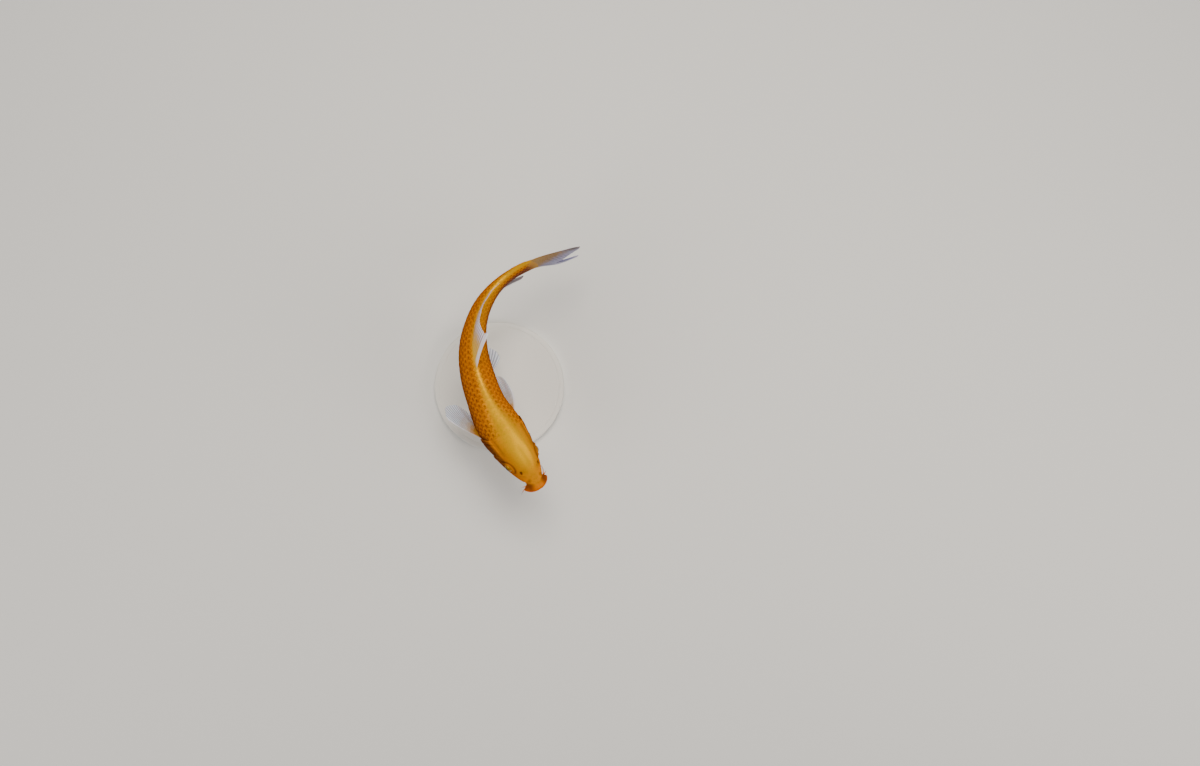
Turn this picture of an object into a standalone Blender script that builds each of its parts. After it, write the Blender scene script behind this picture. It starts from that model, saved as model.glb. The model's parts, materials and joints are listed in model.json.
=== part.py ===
"""A young golden koi carp, life size, gliding round a bend to its left, on a round display stand.

The fish is 0.300 m long, measured along its bent spine from the lips to the tail tips. Its body
follows one spine curve that lies level at AXIS_HEIGHT. Stations are distances along that curve
from the front of the lips. At each station the frame is: tangent (toward the tail), left (the
fish's own left) and up (its back), and the fish is rolled a little into its turn.

The origin is the centre of the stand's underside, +Z up.
"""

import math

import bmesh
import bpy
from mathutils import Matrix, Vector

# ---------------------------------------------------------------- driving dimensions, in metres

MM = 0.001
AXIS_HEIGHT = 0.100  # spine curve above the underside of the stand
MOUTH = Vector((0.0464, -0.0962))  # front of the lips, seen from above
SPINE_STEPS = 330  # one each millimetre
GAP = 0.3 * MM  # between neighbouring pieces

# Direction of the tail from each station, in degrees from +X, seen from above.
HEADINGS = (
    (0.000, 124.0),
    (0.072, 122.5),
    (0.099, 111.5),
    (0.130, 102.0),
    (0.150, 90.5),
    (0.174, 75.0),
    (0.198, 57.0),
    (0.222, 39.0),
    (0.249, 22.5),
    (0.270, 16.0),
    (0.300, 21.0),
)

# Roll of the back toward the fish's left, in degrees.
ROLLS = (
    (0.000, 15.0),
    (0.060, 13.0),
    (0.125, 6.5),
    (0.200, 3.0),
    (0.230, -3.0),
    (0.250, -7.0),
    (0.268, -5.0),
    (0.300, 0.5),
)

# Station, height above the spine, depth below it, half width; all in millimetres.
BODY = (
    (5.7, 1.0, 8.6, 3.8),
    (7.4, 3.3, 10.1, 6.1),
    (9.4, 5.6, 11.3, 8.3),
    (12.0, 8.4, 12.7, 9.6),
    (16.0, 11.8, 14.4, 10.7),
    (24.6, 17.2, 17.5, 13.9),
    (34.0, 21.9, 20.5, 16.7),
    (43.0, 25.5, 22.8, 18.5),
    (52.5, 28.4, 24.6, 19.9),
    (62.0, 31.0, 26.4, 20.8),
    (71.0, 33.2, 28.2, 20.6),
    (80.5, 34.8, 29.6, 19.7),
    (99.0, 36.6, 31.4, 17.2),
    (118.0, 36.8, 31.6, 16.3),
    (136.0, 34.8, 30.2, 14.8),
    (155.0, 30.6, 27.4, 12.7),
    (173.5, 25.4, 23.6, 10.2),
    (192.0, 20.0, 18.8, 8.3),
    (210.0, 16.0, 15.2, 6.3),
    (228.0, 14.2, 13.8, 4.8),
    (239.0, 14.6, 14.4, 4.3),
    (246.0, 16.0, 15.8, 3.8),
)

# Fullness of the section above and below its widest line: 2 is an ellipse, more is boxier.
FULLNESS = (
    (5.0, 2.2, 2.1),
    (30.0, 2.35, 2.0),
    (62.0, 2.15, 2.0),
    (100.0, 1.95, 2.05),
    (140.0, 1.8, 2.05),
    (200.0, 1.9, 2.0),
    (246.0, 2.0, 2.0),
)

RING_POINTS = 26
RING_SPACING = 5.2 * MM
SHARP_ANGLE = math.radians(50)
BODY_LENGTHS = (  # node, first and last station in millimetres, colour
    ("head", 5.7, 66.0, "head"),
    ("trunk_front", 66.0, 106.0, "body"),
    ("trunk_middle", 106.0, 150.0, "body"),
    ("trunk_rear", 150.0, 196.0, "body"),
    ("tail_stalk", 196.0, 246.0, "body"),
)

EYE_STATION, EYE_HEIGHT, EYE_ASIDE = 34.6 * MM, 7.4 * MM, 14.5 * MM
EYE_RADIUS, EYE_BULGE = 4.7 * MM, 3.5 * MM
EYE_UP, EYE_FORWARD = 0.0, 0.16  # how far its pole turns up and forward, beside outward
NOSTRIL_STATION, NOSTRIL_HEIGHT, NOSTRIL_ASIDE = 23.6 * MM, 12.6 * MM, 9.6 * MM
NOSTRIL_RADIUS, NOSTRIL_LENGTH = 1.7 * MM, 2.2 * MM

LIP_SWEEP, LIP_RINGS, LIP_SIDES = math.radians(96), 14, 8
LIP_TALLER = 1.2  # a lip is this much taller than it is deep
LIP_TAPER = 0.52  # share of its thickness that a lip loses toward the mouth's corner
BARBEL_POINTS, BARBEL_TAPER = 8, 0.42

COVER_CENTRE = (56.5, -4.0)  # station and height of the gill cover's middle, in millimetres
COVER_REAR, COVER_FRONT, COVER_RISE = 13.2, 12.6, 19.5
COVER_TILT = 12.0  # degrees that its upper end leans toward the tail
COVER_POINTS = 26
COVER_SPAN = (36 * MM, 76 * MM)  # lengths of the body that the cover and its core are cut from
CORE_SPAN = (30 * MM, 80 * MM)
CUTTER_REACH = 35 * MM
COVER_THICKNESS = 3.0 * MM
COVER_INNER_EDGE = 4.0 * MM  # nearest that a cover comes to the middle plane, under the throat
COVER_FLARE = 1.9 * MM  # it stands this far out of the body at its rear edge

FIN_GAP = 0.5 * MM
FIN_EDGE = 0.6 * MM
TAIL_ROOT_STATION = 0.246

BASE_RADIUS, BASE_THICKNESS, BASE_EDGE = 0.065, 0.010, 0.0015
ROD_RADIUS = 2.5 * MM
ROD_STATIONS = (("stand_rod_front", 0.092), ("stand_rod_rear", 0.158))

COLOURS = {  # base colour (linear), roughness, metallic
    "head": ((0.90, 0.48, 0.02), 0.30, 0.25),
    "body": ((0.70, 0.33, 0.02), 0.35, 0.30),
    "lips": ((0.78, 0.20, 0.01), 0.35, 0.0),
    "cover": ((0.80, 0.36, 0.02), 0.30, 0.30),
    "fin": ((0.70, 0.74, 0.80), 0.40, 0.0),
    "barbel": ((0.62, 0.70, 0.78), 0.45, 0.0),
    "eye": ((0.03, 0.02, 0.01), 0.08, 0.0),
    "base": ((0.80, 0.80, 0.78), 0.50, 0.0),
    "rod": ((0.62, 0.62, 0.63), 0.25, 1.0),
}


# ---------------------------------------------------------------- curves through named stations


def along(rows, column, x):
    """Smooth value of a table's column at x: a cubic through its rows, flat outside them."""
    if x <= rows[0][0]:
        return rows[0][column]
    if x >= rows[-1][0]:
        return rows[-1][column]

    def slope(i):
        low, high = max(i - 1, 0), min(i + 1, len(rows) - 1)
        return (rows[high][column] - rows[low][column]) / (rows[high][0] - rows[low][0])

    i = max(k for k in range(len(rows) - 1) if rows[k][0] <= x)
    step = rows[i + 1][0] - rows[i][0]
    f = (x - rows[i][0]) / step
    return (
        (2 * f**3 - 3 * f**2 + 1) * rows[i][column]
        + (f**3 - 2 * f**2 + f) * step * slope(i)
        + (3 * f**2 - 2 * f**3) * rows[i + 1][column]
        + (f**3 - f**2) * step * slope(i + 1)
    )


def spine_places():
    """Places along the spine, one each millimetre, by adding up steps along its heading."""
    places = [MOUTH.to_3d() + Vector((0, 0, AXIS_HEIGHT))]
    for i in range(SPINE_STEPS):
        heading = math.radians(along(HEADINGS, 1, (i + 0.5) * MM))
        places.append(places[-1] + MM * Vector((math.cos(heading), math.sin(heading), 0)))
    return places


SPINE = spine_places()


def level_frame(station):
    """Place on the spine, tangent toward the tail and level direction to the fish's left."""
    i = min(int(station / MM), len(SPINE) - 2)
    heading = math.radians(along(HEADINGS, 1, station))
    tangent = Vector((math.cos(heading), math.sin(heading), 0))
    left = Vector((math.sin(heading), -math.cos(heading), 0))
    return SPINE[i].lerp(SPINE[i + 1], station / MM - i), tangent, left


def frame(station):
    """Place, tangent, left and up, rolled with the body."""
    place, tangent, left = level_frame(station)
    roll = math.radians(along(ROLLS, 1, station))
    up = Vector((0, 0, 1))
    return (
        place,
        tangent,
        math.cos(roll) * left - math.sin(roll) * up,
        math.cos(roll) * up + math.sin(roll) * left,
    )


def at(station, aside=0.0, above=0.0):
    """World point from a station and distances to the left and up, in the rolled frame."""
    place, _, left, up = frame(station)
    return place + aside * left + above * up


def size_at(station, column):
    """One of the body's sizes at a station: 1 is height, 2 is depth and 3 is half width."""
    return along(BODY, column, station / MM) * MM


def section(station, angle, wider=0.0, taller=0.0):
    """Distances aside and above of the skin at an angle round the body: 0 is left, 90 the back."""
    upper = math.sin(angle) >= 0
    fullness = along(FULLNESS, 1 if upper else 2, station / MM)
    reach = size_at(station, 1 if upper else 2) + taller
    width = size_at(station, 3) + wider
    c, s = math.cos(angle), math.sin(angle)
    aside = math.copysign(width * abs(c) ** (2 / fullness), c)
    return aside, math.copysign(reach * abs(s) ** (2 / fullness), s)


def off_skin(station, angle, distance):
    """World point that far outside the skin, square to the section, at an angle round it."""
    step = math.radians(1)
    y0, z0 = section(station, angle - step)
    y1, z1 = section(station, angle + step)
    along_skin = Vector((y1 - y0, z1 - z0)).normalized()
    aside, above = section(station, angle)
    return at(station, aside + along_skin.y * distance, above - along_skin.x * distance)


# ---------------------------------------------------------------- scene, materials and meshes


def clear_scene():
    for obj in list(bpy.data.objects):
        bpy.data.objects.remove(obj, do_unlink=True)


def collection(name):
    found = bpy.data.collections.new(name)
    bpy.context.scene.collection.children.link(found)
    return found


def material(name):
    found = bpy.data.materials.get(name)
    if found:
        return found
    colour, roughness, metallic = COLOURS[name]
    made = bpy.data.materials.new(name)
    made.use_nodes = True
    shader = made.node_tree.nodes["Principled BSDF"]
    shader.inputs["Base Color"].default_value = (*colour, 1)
    shader.inputs["Roughness"].default_value = roughness
    shader.inputs["Metallic"].default_value = metallic
    made.diffuse_color = (*colour, 1)
    return made


def new_object(name, mesh, group, colour=None):
    """Object in a collection; helpers without a colour are hidden from renders."""
    obj = bpy.data.objects.new(name, mesh)
    group.objects.link(obj)
    if colour:
        mesh.materials.append(material(colour))
        if isinstance(mesh, bpy.types.Mesh):
            mesh.shade_smooth()
            mesh.set_sharp_from_angle(angle=SHARP_ANGLE)
    else:
        obj.hide_render = True
        obj.display_type = "WIRE"
    return obj


def mesh_from(name, bm):
    bmesh.ops.recalc_face_normals(bm, faces=bm.faces[:])
    mesh = bpy.data.meshes.new(name)
    bm.to_mesh(mesh)
    bm.free()
    return mesh


def loft(name, rings):
    """Closed mesh through rings of equal point count, capped at both ends."""
    bm = bmesh.new()
    loops = [[bm.verts.new(point) for point in ring] for ring in rings]
    count = len(loops[0])
    for one, two in zip(loops, loops[1:]):
        for i in range(count):
            j = (i + 1) % count
            bm.faces.new((one[i], one[j], two[j], two[i]))
    bm.faces.new(loops[0])
    bm.faces.new(loops[-1])
    return mesh_from(name, bm)


def boolean(obj, cutter, operation="DIFFERENCE"):
    modifier = obj.modifiers.new(operation.title(), "BOOLEAN")
    modifier.operation = operation
    modifier.object = cutter
    modifier.solver = "EXACT"


# ---------------------------------------------------------------- body lengths


def body_ring(station, wider=0.0, taller=0.0):
    turns = [2 * math.pi * i / RING_POINTS for i in range(RING_POINTS)]
    return [at(station, *section(station, turn, wider, taller)) for turn in turns]


def body_rings(first, last, wider=lambda station: 0.0, taller=0.0):
    """Rings from one station to another, grown sideways and upward by the given amounts."""
    steps = max(2, round((last - first) / RING_SPACING))
    stations = [first + (last - first) * i / steps for i in range(steps + 1)]
    return [body_ring(station, wider(station), taller) for station in stations]


def body_length(name, first, last, colour, group):
    """One length of the body, short of its neighbours by half a gap at each parting cut."""
    start = first * MM + (GAP / 2 if name != "head" else 0)
    end = last * MM - (GAP / 2 if name != "tail_stalk" else 0)
    return new_object(name, loft(name, body_rings(start, end)), group, colour)


# ---------------------------------------------------------------- gill covers, eyes and nostrils


def cover_outline(grow):
    """Points (station, height) round a gill cover: a long rear curve and a flatter front one."""
    points = []
    tilt = math.radians(COVER_TILT)
    for i in range(COVER_POINTS):
        turn = 2 * math.pi * i / COVER_POINTS
        reach = COVER_REAR if math.cos(turn) > 0 else COVER_FRONT
        x = (reach + grow / MM) * math.cos(turn)
        y = (COVER_RISE + grow / MM) * math.sin(turn)
        points.append(
            (
                (COVER_CENTRE[0] + x * math.cos(tilt) + y * math.sin(tilt)) * MM,
                (COVER_CENTRE[1] - x * math.sin(tilt) + y * math.cos(tilt)) * MM,
            )
        )
    return points


def cover_cutter(name, side, grow, group):
    """The cover's outline carried outward, hollowed to lie outside the head's core."""
    depths = (COVER_INNER_EDGE - grow, CUTTER_REACH)
    rings = [[at(x, side * depth, y) for x, y in cover_outline(grow)] for depth in depths]
    cutter = new_object(name, loft(name, rings), group)
    shrink = -COVER_THICKNESS - grow
    rings = body_rings(*CORE_SPAN, lambda station: shrink, shrink)
    boolean(cutter, new_object(name + "_core", loft(name, rings), group))
    return cutter


def cover_flare(station):
    """How far a gill cover stands out of the body: nothing in front, most at its rear edge."""
    front = (COVER_CENTRE[0] - COVER_FRONT) * MM
    rear = (COVER_CENTRE[0] + COVER_REAR) * MM
    f = min(max((station - front) / (rear - front), 0.0), 1.0)
    return COVER_FLARE * f * f * (3 - 2 * f)


def gill_cover(name, side, group, cutters):
    rings = body_rings(*COVER_SPAN, cover_flare)
    cover = new_object(name, loft(name, rings), group, "cover")
    boolean(cover, cover_cutter(name + "_outline", side, 0.0, cutters), "INTERSECT")
    return cover


def ball(name, place, axes, radii, group, colour=None, segments=14, rings=9):
    """Ellipsoid with its own axes, from a sphere."""
    bm = bmesh.new()
    bmesh.ops.create_uvsphere(bm, u_segments=segments, v_segments=rings, radius=1.0)
    turn = Matrix([axis * radius for axis, radius in zip(axes, radii)]).transposed().to_4x4()
    bmesh.ops.transform(bm, matrix=Matrix.Translation(place) @ turn, verts=bm.verts[:])
    return new_object(name, mesh_from(name, bm), group, colour)


def eye(name, side, grow, group, colour=None):
    """Eyeball, a little flattened, its pole turned outward, slightly up and forward."""
    _, tangent, left, up = frame(EYE_STATION)
    out = (side * left + EYE_UP * up - EYE_FORWARD * tangent).normalized()
    along_eye = (tangent - tangent.dot(out) * out).normalized()
    axes = (along_eye, out.cross(along_eye), out)
    radii = (EYE_RADIUS + grow, EYE_RADIUS + grow, EYE_BULGE + grow)
    place = at(EYE_STATION, side * EYE_ASIDE, EYE_HEIGHT)
    return ball(name, place, axes, radii, group, colour)


def nostril(name, side, group):
    """Shallow pit on top of the snout."""
    _, tangent, left, up = frame(NOSTRIL_STATION)
    place = at(NOSTRIL_STATION, side * NOSTRIL_ASIDE, NOSTRIL_HEIGHT)
    radii = (NOSTRIL_LENGTH, NOSTRIL_RADIUS, NOSTRIL_RADIUS)
    return ball(name, place, (tangent, left, up), radii, group, segments=12, rings=8)


# ---------------------------------------------------------------- lips and barbels


def lip(name, group, reach, front, length, height, drop, thick):
    """Fleshy roll bent like a horseshoe round the snout, thickest in front."""
    rings = []
    for i in range(LIP_RINGS + 1):
        turn = LIP_SWEEP * (2 * i / LIP_RINGS - 1)
        back = 1 - math.cos(turn)
        radius = thick * (1 - LIP_TAPER * (turn / LIP_SWEEP) ** 4) * MM
        middle = at(
            (front + length * back) * MM, reach * math.sin(turn) * MM, (height - drop * back) * MM
        )
        _, tangent, left, up = frame((front + length * back) * MM)
        out = (math.sin(turn) * left - math.cos(turn) * tangent).normalized()
        ring = []
        for k in range(LIP_SIDES):
            round_it = 2 * math.pi * k / LIP_SIDES
            rise = LIP_TALLER * math.sin(round_it)
            ring.append(middle + radius * (math.cos(round_it) * out + rise * up))
        rings.append(ring)
    return new_object(name, loft(name, rings), group, "lips")


def tapered_wire(name, points, radius, group):
    """Barbel: a curve that thins toward its tip."""
    curve = bpy.data.curves.new(name, "CURVE")
    curve.dimensions = "3D"
    curve.bevel_depth = radius
    curve.bevel_resolution = 2
    curve.use_fill_caps = True
    spline = curve.splines.new("POLY")
    spline.points.add(len(points) - 1)
    for i, (point, place) in enumerate(zip(spline.points, points)):
        point.co = (*place, 1)
        point.radius = 1 - BARBEL_TAPER * i / (len(points) - 1)
    return new_object(name, curve, group, "barbel")


def barbel(name, root, tip, bow, radius, group):
    """Feeler bowed outward between two places given as station, aside and above, in mm."""
    points = []
    for i in range(BARBEL_POINTS):
        f = i / (BARBEL_POINTS - 1)
        station, aside, above = (a + (b - a) * f for a, b in zip(root, tip))
        aside += math.copysign(bow * math.sin(math.pi * f), aside)
        points.append(at(station * MM, aside * MM, above * MM))
    return tapered_wire(name, points, radius * MM, group)


def barbels(side, word, group):
    """A short feeler on the snout and a longer one at the mouth's corner."""
    snout_tip = (12.0, side * 14.4, -3.5)
    corner_tip = (6.0, -16.5, -13.5) if side < 0 else (18.5, 15.0, -12.5)
    barbel("barbel_snout_" + word, (10.4, side * 10.6, -1.0), snout_tip, 0.5, 0.45, group)
    barbel("barbel_corner_" + word, (11.0, side * 10.6, -7.0), corner_tip, 1.2, 0.6, group)


# ---------------------------------------------------------------- fins


def fin(name, root, ray, counts, group, thick=1.6 * MM, edge=FIN_EDGE):
    """Fin from its root line and its rays.

    root(u) is a point of the root line, and ray(u, v) the offset from it at v of the way along
    the ray that starts there, both for u from the first ray, 0, to the last, 1.
    """
    across, outward = counts
    bm = bmesh.new()
    rows = []
    for i in range(across + 1):
        u = i / across
        start = root(u)
        rows.append([bm.verts.new(start + ray(u, j / outward)) for j in range(outward + 1)])
    for one, two in zip(rows, rows[1:]):
        for j in range(outward):
            bm.faces.new((one[j], one[j + 1], two[j + 1], two[j]))
    mesh = mesh_from(name, bm)
    obj = new_object(name, mesh, group, "fin")
    weights = obj.vertex_groups.new(name="thickness")
    for i in range(across + 1):
        for j in range(outward + 1):
            u, v = i / across, j / outward
            rim = min(1.0, 0.35 + 3 * min(u, 1 - u))
            weights.add([i * (outward + 1) + j], (1 - v) ** 1.3 * rim, "REPLACE")
    solid = obj.modifiers.new("Solidify", "SOLIDIFY")
    solid.thickness = thick
    solid.offset = 0
    solid.vertex_group = "thickness"
    solid.thickness_vertex_group = edge / thick
    return obj


def level_offset(station, back, left, up):
    """Offset in the level frame of a station, from millimetres."""
    _, tangent, aside = level_frame(station)
    return (back * tangent + left * aside + Vector((0, 0, up))) * MM


def swept_ray(rays, base, u, v):
    """Offset along a middle-line fin's ray, which sweeps back and follows the bent spine."""
    station = base[0] + (base[1] - base[0]) * u
    back, left, up = (along(rays, k, u) for k in (1, 2, 3))
    end = station + back * v * (0.85 + 0.15 * v) * MM
    bent = at(end) - at(station)
    return bent + level_offset(end, 0, left * v, up * v * (1.25 - 0.25 * v))


DORSAL_BASE = (0.128, 0.206)
DORSAL_RAYS = (  # place along the root, and the ray's reach back, left and up in millimetres
    (0.00, 33.5, 15.0, 21.0),
    (0.05, 32.0, 13.5, 20.0),
    (0.14, 25.5, 9.5, 17.2),
    (0.28, 21.0, 5.6, 14.0),
    (0.45, 17.0, 3.0, 11.5),
    (0.70, 14.5, 1.6, 8.5),
    (1.00, 12.0, 1.0, 5.0),
)


def dorsal_root(u):
    station = DORSAL_BASE[0] + (DORSAL_BASE[1] - DORSAL_BASE[0]) * u
    return off_skin(station, math.pi / 2, FIN_GAP)


ANAL_BASE = (0.190, 0.212)
ANAL_RAYS = (  # as for the dorsal fin, its rays hanging down
    (0.00, 37.0, 5.8, -14.0),
    (0.15, 41.5, 6.4, -12.0),
    (0.60, 37.0, 6.0, -6.5),
    (1.00, 28.0, 4.6, -4.0),
)


def anal_root(u):
    station = ANAL_BASE[0] + (ANAL_BASE[1] - ANAL_BASE[0]) * u
    return off_skin(station, -math.pi / 2, FIN_GAP)


TAIL_ROOT_RISE = 15.2  # half height of the tail fin's root, in millimetres
TAIL_PARTING = 0.006  # half the parting between the lobes, as a share of the root
TAIL_CUP = 6.0  # the middle rays lag this far to the fish's left, in millimetres
TAIL_RAYS = (  # from the middle ray, 0, to the upper edge, 1: reach back, height of the tip
    (0.00, 28.0, 0.0),
    (0.30, 36.0, 12.0),
    (0.60, 47.5, 26.5),
    (0.80, 52.5, 35.0),
    (0.90, 50.5, 37.0),
    (1.00, 27.0, 23.5),
)
LOWER_LOBE = 0.95  # length of the lower lobe beside the upper


def tail_lobe(name, side, group):
    """One lobe of the tail fin: side is 1 for the upper and -1 for the lower."""
    station = TAIL_ROOT_STATION + FIN_GAP
    length = 1.0 if side > 0 else LOWER_LOBE

    def span(u):
        return TAIL_PARTING + (1 - TAIL_PARTING) * u

    def root(u):
        return at(station, 0, side * TAIL_ROOT_RISE * span(u) * MM)

    def ray(u, v):
        back, rise = (along(TAIL_RAYS, k, span(u)) * length for k in (1, 2))
        start = TAIL_ROOT_RISE * span(u)
        height = start + (max(rise, start * (1 - v) + rise * v) - start) * v
        lag = TAIL_CUP * (1 - span(u) ** 2) * math.sin(math.pi * v / 2)
        parting = 2 * GAP / MM * v
        end = at(station + back * v * MM, lag * MM, side * (height + parting) * MM)
        return end - root(u)

    return fin(name, root, ray, (11, 7), group, thick=2.4 * MM)


PAIRED_ROOT_GAP = 1.0 * MM
# Each paired fin's root: first and last station in millimetres, and angle below the side.
PECTORAL_ROOT = ((70.5, 35.0), (78.0, 44.0))
PELVIC_ROOT = ((116.5, 64.0), (124.0, 73.0))
# Rays: place along the root, reach back, outward and up, and sideways bow; in millimetres.
PECTORAL_RIGHT_RAYS = (
    (0.00, 32.5, 19.8, -19.0, 1.2),
    (0.12, 37.5, 20.0, -21.5, 2.0),
    (0.35, 42.0, 15.0, -21.0, 2.2),
    (0.65, 35.0, 6.5, -17.0, 1.5),
    (0.88, 23.5, 2.0, -12.5, 1.0),
    (1.00, 10.0, 0.0, -6.0, 0.0),
)
PECTORAL_LEFT_RAYS = (
    (0.00, 33.0, 12.0, -13.8, 5.0),
    (0.12, 38.5, 11.4, -15.6, 4.9),
    (0.35, 41.0, 7.5, -18.0, 4.0),
    (0.65, 33.0, 3.5, -17.0, 2.0),
    (0.88, 21.0, 1.5, -11.5, 1.0),
    (1.00, 12.0, 0.0, -7.0, 0.0),
)
PELVIC_LEFT_RAYS = (
    (0.00, 15.0, 14.5, -21.0, 1.0),
    (0.12, 18.5, 17.0, -24.0, 1.5),
    (0.40, 25.5, 14.5, -22.5, 1.5),
    (0.75, 26.0, 8.5, -16.5, 1.0),
    (1.00, 14.0, 3.0, -9.0, 0.5),
)
PELVIC_RIGHT_RAYS = (
    (0.00, 16.0, 7.5, -24.5, 1.0),
    (0.12, 20.0, 8.5, -27.0, 1.0),
    (0.40, 26.0, 6.5, -24.0, 1.0),
    (0.75, 24.5, 3.5, -17.0, 0.5),
    (1.00, 14.0, 1.0, -9.0, 0.0),
)


def paired_fin(name, side, ends, rays, counts, group):
    """Fin of a pair, rooted along the lower side of the body between two places on its skin."""
    (first, steep), (last, steeper) = ends
    middle = (first + last) / 2 * MM

    def root(u):
        station = (first + (last - first) * u) * MM
        angle = -math.radians(steep + (steeper - steep) * u)
        return off_skin(station, angle if side > 0 else math.pi - angle, PAIRED_ROOT_GAP)

    def ray(u, v):
        back, out, up, bow = (along(rays, k, u) for k in (1, 2, 3, 4))
        aside = side * (out * v + 4 * bow * v * (1 - v))
        return level_offset(middle, back * v, aside, up * v * (0.8 + 0.2 * v))

    return fin(name, root, ray, counts, group, thick=1.1 * MM)


def fins(group):
    fin(
        "dorsal_fin",
        dorsal_root,
        lambda u, v: swept_ray(DORSAL_RAYS, DORSAL_BASE, u, v),
        (17, 5),
        group,
    )
    fin(
        "anal_fin", anal_root, lambda u, v: swept_ray(ANAL_RAYS, ANAL_BASE, u, v), (8, 6), group
    )
    tail_lobe("tail_fin_upper", 1, group)
    tail_lobe("tail_fin_lower", -1, group)
    pairs = (
        ("pectoral_fin_left", 1, PECTORAL_ROOT, PECTORAL_LEFT_RAYS, (12, 7)),
        ("pectoral_fin_right", -1, PECTORAL_ROOT, PECTORAL_RIGHT_RAYS, (12, 7)),
        ("pelvic_fin_left", 1, PELVIC_ROOT, PELVIC_LEFT_RAYS, (9, 6)),
        ("pelvic_fin_right", -1, PELVIC_ROOT, PELVIC_RIGHT_RAYS, (9, 6)),
    )
    for pair in pairs:
        paired_fin(*pair, group)


# ---------------------------------------------------------------- stand


def cylinder(name, place, radius, low, high, group, colour, sides, edge):
    """Upright cylinder between two heights, its rims bevelled."""
    bm = bmesh.new()
    bmesh.ops.create_cone(
        bm, cap_ends=True, segments=sides, radius1=radius, radius2=radius, depth=high - low
    )
    middle = Vector((place[0], place[1], (low + high) / 2))
    bmesh.ops.translate(bm, verts=bm.verts[:], vec=middle)
    rims = [e for e in bm.edges if abs(e.verts[0].co.z - e.verts[1].co.z) < GAP / 10]
    bmesh.ops.bevel(bm, geom=rims, offset=edge, segments=2, profile=0.5, affect="EDGES")
    return new_object(name, mesh_from(name, bm), group, colour)


def lowest_point(station):
    """Lowest point of the rolled body section at a station."""
    ring = [at(station, *section(station, math.radians(a))) for a in range(180, 361)]
    return min(ring, key=lambda point: point.z)


def stand(group):
    cylinder(
        "stand_base", (0, 0), BASE_RADIUS, 0, BASE_THICKNESS, group, "base", 48, BASE_EDGE
    )
    for name, station in ROD_STATIONS:
        foot = lowest_point(station)
        top = foot.z - 2 * GAP
        cylinder(name, foot, ROD_RADIUS, BASE_THICKNESS + GAP, top, group, "rod", 12, GAP)


# ---------------------------------------------------------------- the whole fish


def main():
    clear_scene()
    fish = collection("koi_carp")
    cutters = collection("cutters")
    lengths = {row[0]: body_length(*row, fish) for row in BODY_LENGTHS}
    for side, word in ((1, "left"), (-1, "right")):
        gill_cover("gill_cover_" + word, side, fish, cutters)
        recess = cover_cutter("recess_" + word, side, GAP, cutters)
        boolean(lengths["head"], recess)
        boolean(lengths["trunk_front"], recess)
        eye("eye_" + word, side, 0.0, fish, "eye")
        boolean(lengths["head"], eye("socket_" + word, side, GAP, cutters))
        boolean(lengths["head"], nostril("nostril_" + word, side, cutters))
        barbels(side, word, fish)
    lip("upper_lip", fish, 10.8, 2.5, 4.9, -1.0, 2.6, 2.45)
    lip("lower_lip", fish, 9.2, 2.8, 4.4, -6.7, 0.2, 2.0)
    fins(fish)
    stand(fish)


main()
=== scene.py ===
# %% [markdown]
# # A golden koi carp on its display stand
# The fish hangs over a round base, bent to its left as if gliding round a corner. The solid model
# gives its outline, so everything here is built on the same spine curve and the same body
# sections, only much finer: one skin, about nine hundred scales, fins with real rays, and eyes.
# Lengths inside the fish are in millimetres along a straight fish: x is the distance back from
# the lips, y the distance to its left, z the height above its spine. One function then bends
# that straight fish into the pose.

import json
import math

import bmesh
import bpy
import numpy as np
from mathutils import Matrix, Vector

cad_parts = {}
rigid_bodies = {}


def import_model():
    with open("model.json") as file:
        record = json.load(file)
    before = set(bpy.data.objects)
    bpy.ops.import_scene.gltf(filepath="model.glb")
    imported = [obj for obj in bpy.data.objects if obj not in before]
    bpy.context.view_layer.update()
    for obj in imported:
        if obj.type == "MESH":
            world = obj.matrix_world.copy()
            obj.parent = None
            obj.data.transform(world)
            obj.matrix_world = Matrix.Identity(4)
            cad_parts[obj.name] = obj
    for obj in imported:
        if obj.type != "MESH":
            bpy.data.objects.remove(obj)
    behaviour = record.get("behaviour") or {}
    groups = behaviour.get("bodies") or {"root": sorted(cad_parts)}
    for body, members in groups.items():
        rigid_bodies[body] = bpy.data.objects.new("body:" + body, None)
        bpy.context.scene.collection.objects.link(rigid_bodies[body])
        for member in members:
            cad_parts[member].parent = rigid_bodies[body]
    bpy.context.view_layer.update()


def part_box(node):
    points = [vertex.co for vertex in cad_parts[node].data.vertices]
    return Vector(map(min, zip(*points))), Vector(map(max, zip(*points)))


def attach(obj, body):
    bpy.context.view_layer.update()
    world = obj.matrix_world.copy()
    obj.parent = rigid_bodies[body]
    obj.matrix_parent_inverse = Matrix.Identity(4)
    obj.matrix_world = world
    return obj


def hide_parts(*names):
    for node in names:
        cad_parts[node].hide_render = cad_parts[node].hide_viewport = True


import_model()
MM = 0.001

# %% [markdown]
# ## The fish in numbers
# A fish is easiest to describe by tables read along its length, as a boat builder does with a
# table of offsets. Each table is read through a smooth cubic, so a few rows are enough.

# %% Tables of the body
# Direction of the tail, in degrees from +X, at distances from the lips.
HEADINGS = (
    (0, 124.0), (72, 122.5), (99, 111.5), (130, 102.0), (150, 90.5), (174, 75.0), (198, 57.0),
    (222, 39.0), (249, 22.5), (270, 16.0), (300, 21.0),
)
# Roll of the back toward the fish's left, in degrees.
ROLLS = (
    (0, 15.0), (60, 13.0), (125, 6.5), (200, 3.0), (230, -3.0), (250, -7.0), (268, -5.0),
    (300, 0.5),
)
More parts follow.
